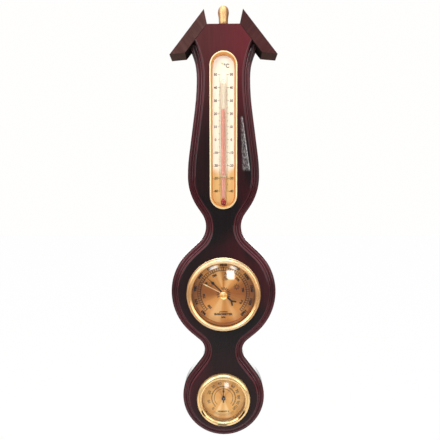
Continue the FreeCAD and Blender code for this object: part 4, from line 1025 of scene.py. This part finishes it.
def hand_rivet():
    """Low steel dome on the hub of the humidity hand."""
    base_depth, radius, height = 21.5, 0.8, 0.35
    segments, rings = 24, 5
    shape = bmesh.new()
    apex = shape.verts.new((0, -(base_depth + height) * MM, HYGROMETER_Z))
    previous = None
    for ring in range(1, rings + 1):
        fall = math.radians(90 * ring / rings)
        ring_radius = radius * math.sin(fall)
        y = -(base_depth + height * math.cos(fall)) * MM
        row = []
        for i in range(segments):
            angle = 2 * math.pi * i / segments
            row.append(shape.verts.new((ring_radius * math.cos(angle) * MM, y,
                                        HYGROMETER_Z + ring_radius * math.sin(angle) * MM)))
        for i in range(segments):
            j = (i + 1) % segments
            if previous is None:
                shape.faces.new((apex, row[i], row[j]))
            else:
                shape.faces.new((previous[i], row[i], row[j], previous[j]))
        previous = row
    shape.faces.new(previous[::-1])
    rivet = new_piece("hand_centre_rivet", shape, steel, "humidity_pointer")
    # all but the flat back is smooth
    for face in rivet.data.polygons:
        face.use_smooth = len(face.vertices) < 10


opal_strip()
hand_rivet()


# ------------------------------------------------------------------ stage
# Dark patches of the floor as seen in reflections: centre x, centre y, half-width in x, in y
FLOOR_PATCHES = ((-0.25, -0.21, 0.05, 0.05), (0.25, -0.21, 0.05, 0.05), (0.0, -0.145, 0.09, 0.018))


def floor_material():
    """White to the camera; reflections see a dark floor with a pale strip in front of
    the board, broken by dark patches, and a bright floor far behind."""
    mat = Material("pale_floor")
    clouds = mat.noise(mat.position(), 3.0, detail=2.0)
    pale = mat.result("ShaderNodeBsdfDiffuse", {
        0: mat.mix(clouds, (0.86, 0.86, 0.85), (0.84, 0.84, 0.83))})
    white = mat.emission((1, 1, 1), 1.0)
    path = mat.add("ShaderNodeLightPath")
    x, y, _ = mat.split(mat.position())
    strip = y.ease(-0.36, -0.28) * y.fall(0.0, 0.04)
    for patch_x, patch_y, half_x, half_y in FLOOR_PATCHES:
        across = (x - patch_x) / half_x
        along = (y - patch_y) / half_y
        strip = strip * (across * across + along * along).ease(0.6, 1.2)
    reflected = mat.result("ShaderNodeBsdfDiffuse", {
        0: mat.mix(strip, (0.30, 0.30, 0.30), (0.86, 0.85, 0.82))})
    glossy = mat.pick(path, "Is Glossy Ray")
    near = mat.shader_mix(glossy, pale, reflected)
    far = mat.emission((1, 1, 1), 3.0)
    lit = mat.shader_mix(glossy * y.ease(0.15, 2.2), near, far)
    return mat.surface(mat.shader_mix(mat.pick(path, "Is Camera Ray") * 0.97, lit, white))


def floor():
    half, z = 4.0, -0.62
    shape = bmesh.new()
    corners = ((-half, -half, z), (half, -half, z), (half, half, z), (-half, half, z))
    shape.faces.new([shape.verts.new(corner) for corner in corners])
    made = link_mesh("floor", shape)
    made.data.materials.append(floor_material())


def studio_world():
    """White to the camera; otherwise bright from the sides and above, and brighter
    low down behind the board for reflections."""
    world = bpy.data.worlds.new("studio")
    scene.world = world
    world.use_nodes = True
    graph = Graph(world.node_tree)
    x, y, z = graph.split(graph.result("ShaderNodeTexCoord", output="Generated"))
    sides = abs(x).ease(0.25, 0.8, start=0.10, end=0.85)
    above = z.ease(0.15, 0.75, end=0.9)
    level = sides.at_least(above)
    path = graph.add("ShaderNodeLightPath")
    camera_ray = graph.pick(path, "Is Camera Ray")
    strength = level * (1.0 - camera_ray) + camera_ray
    behind = y.ease(0.3, 0.7, end=3.0) * z.fall(-0.03, 0.0)
    strength = strength + behind * graph.pick(path, "Is Glossy Ray")
    background = graph.result("ShaderNodeBackground", {0: (1.0, 0.995, 0.985), 1: strength})
    graph.add("ShaderNodeOutputWorld", {0: background})


def softbox(name, location, target, width, height, power):
    light = bpy.data.lights.new(name, "AREA")
    light.shape = "RECTANGLE"
    light.size = width
    light.size_y = height
    light.energy = power
    lamp = bpy.data.objects.new(name, light)
    scene.collection.objects.link(lamp)
    lamp.location = location
    aim = Vector(target) - Vector(location)
    lamp.rotation_euler = aim.to_track_quat("-Z", "Y").to_euler()


def camera():
    lens = bpy.data.cameras.new("camera")
    lens.sensor_fit = "HORIZONTAL"
    lens.sensor_width = 36.0
    lens.lens = CAMERA_LENS
    lens.clip_start = 0.01
    made = bpy.data.objects.new("camera", lens)
    scene.collection.objects.link(made)
    # upright and level it would look along +Y; the yaw turns it about its own upright axis
    made.matrix_world = (Matrix.Translation((CAMERA_X, -CAMERA_FRONT, -CAMERA_DROP))
                         @ Matrix.Rotation(math.pi / 2 - CAMERA_PITCH, 4, "X")
                         @ Matrix.Rotation(CAMERA_YAW, 4, "Y"))
    scene.camera = made


floor()
studio_world()
softbox("softbox_left", location=(-0.9, -0.85, 0.35), target=(0, -0.02, -0.15),
        width=0.7, height=1.0, power=11)
softbox("softbox_right", location=(1.0, -0.8, 0.15), target=(0, -0.02, -0.2),
        width=0.6, height=1.0, power=8)
softbox("softbox_top", location=(0.0, -0.5, 0.9), target=(0, -0.02, -0.1),
        width=0.9, height=0.5, power=8)
camera()
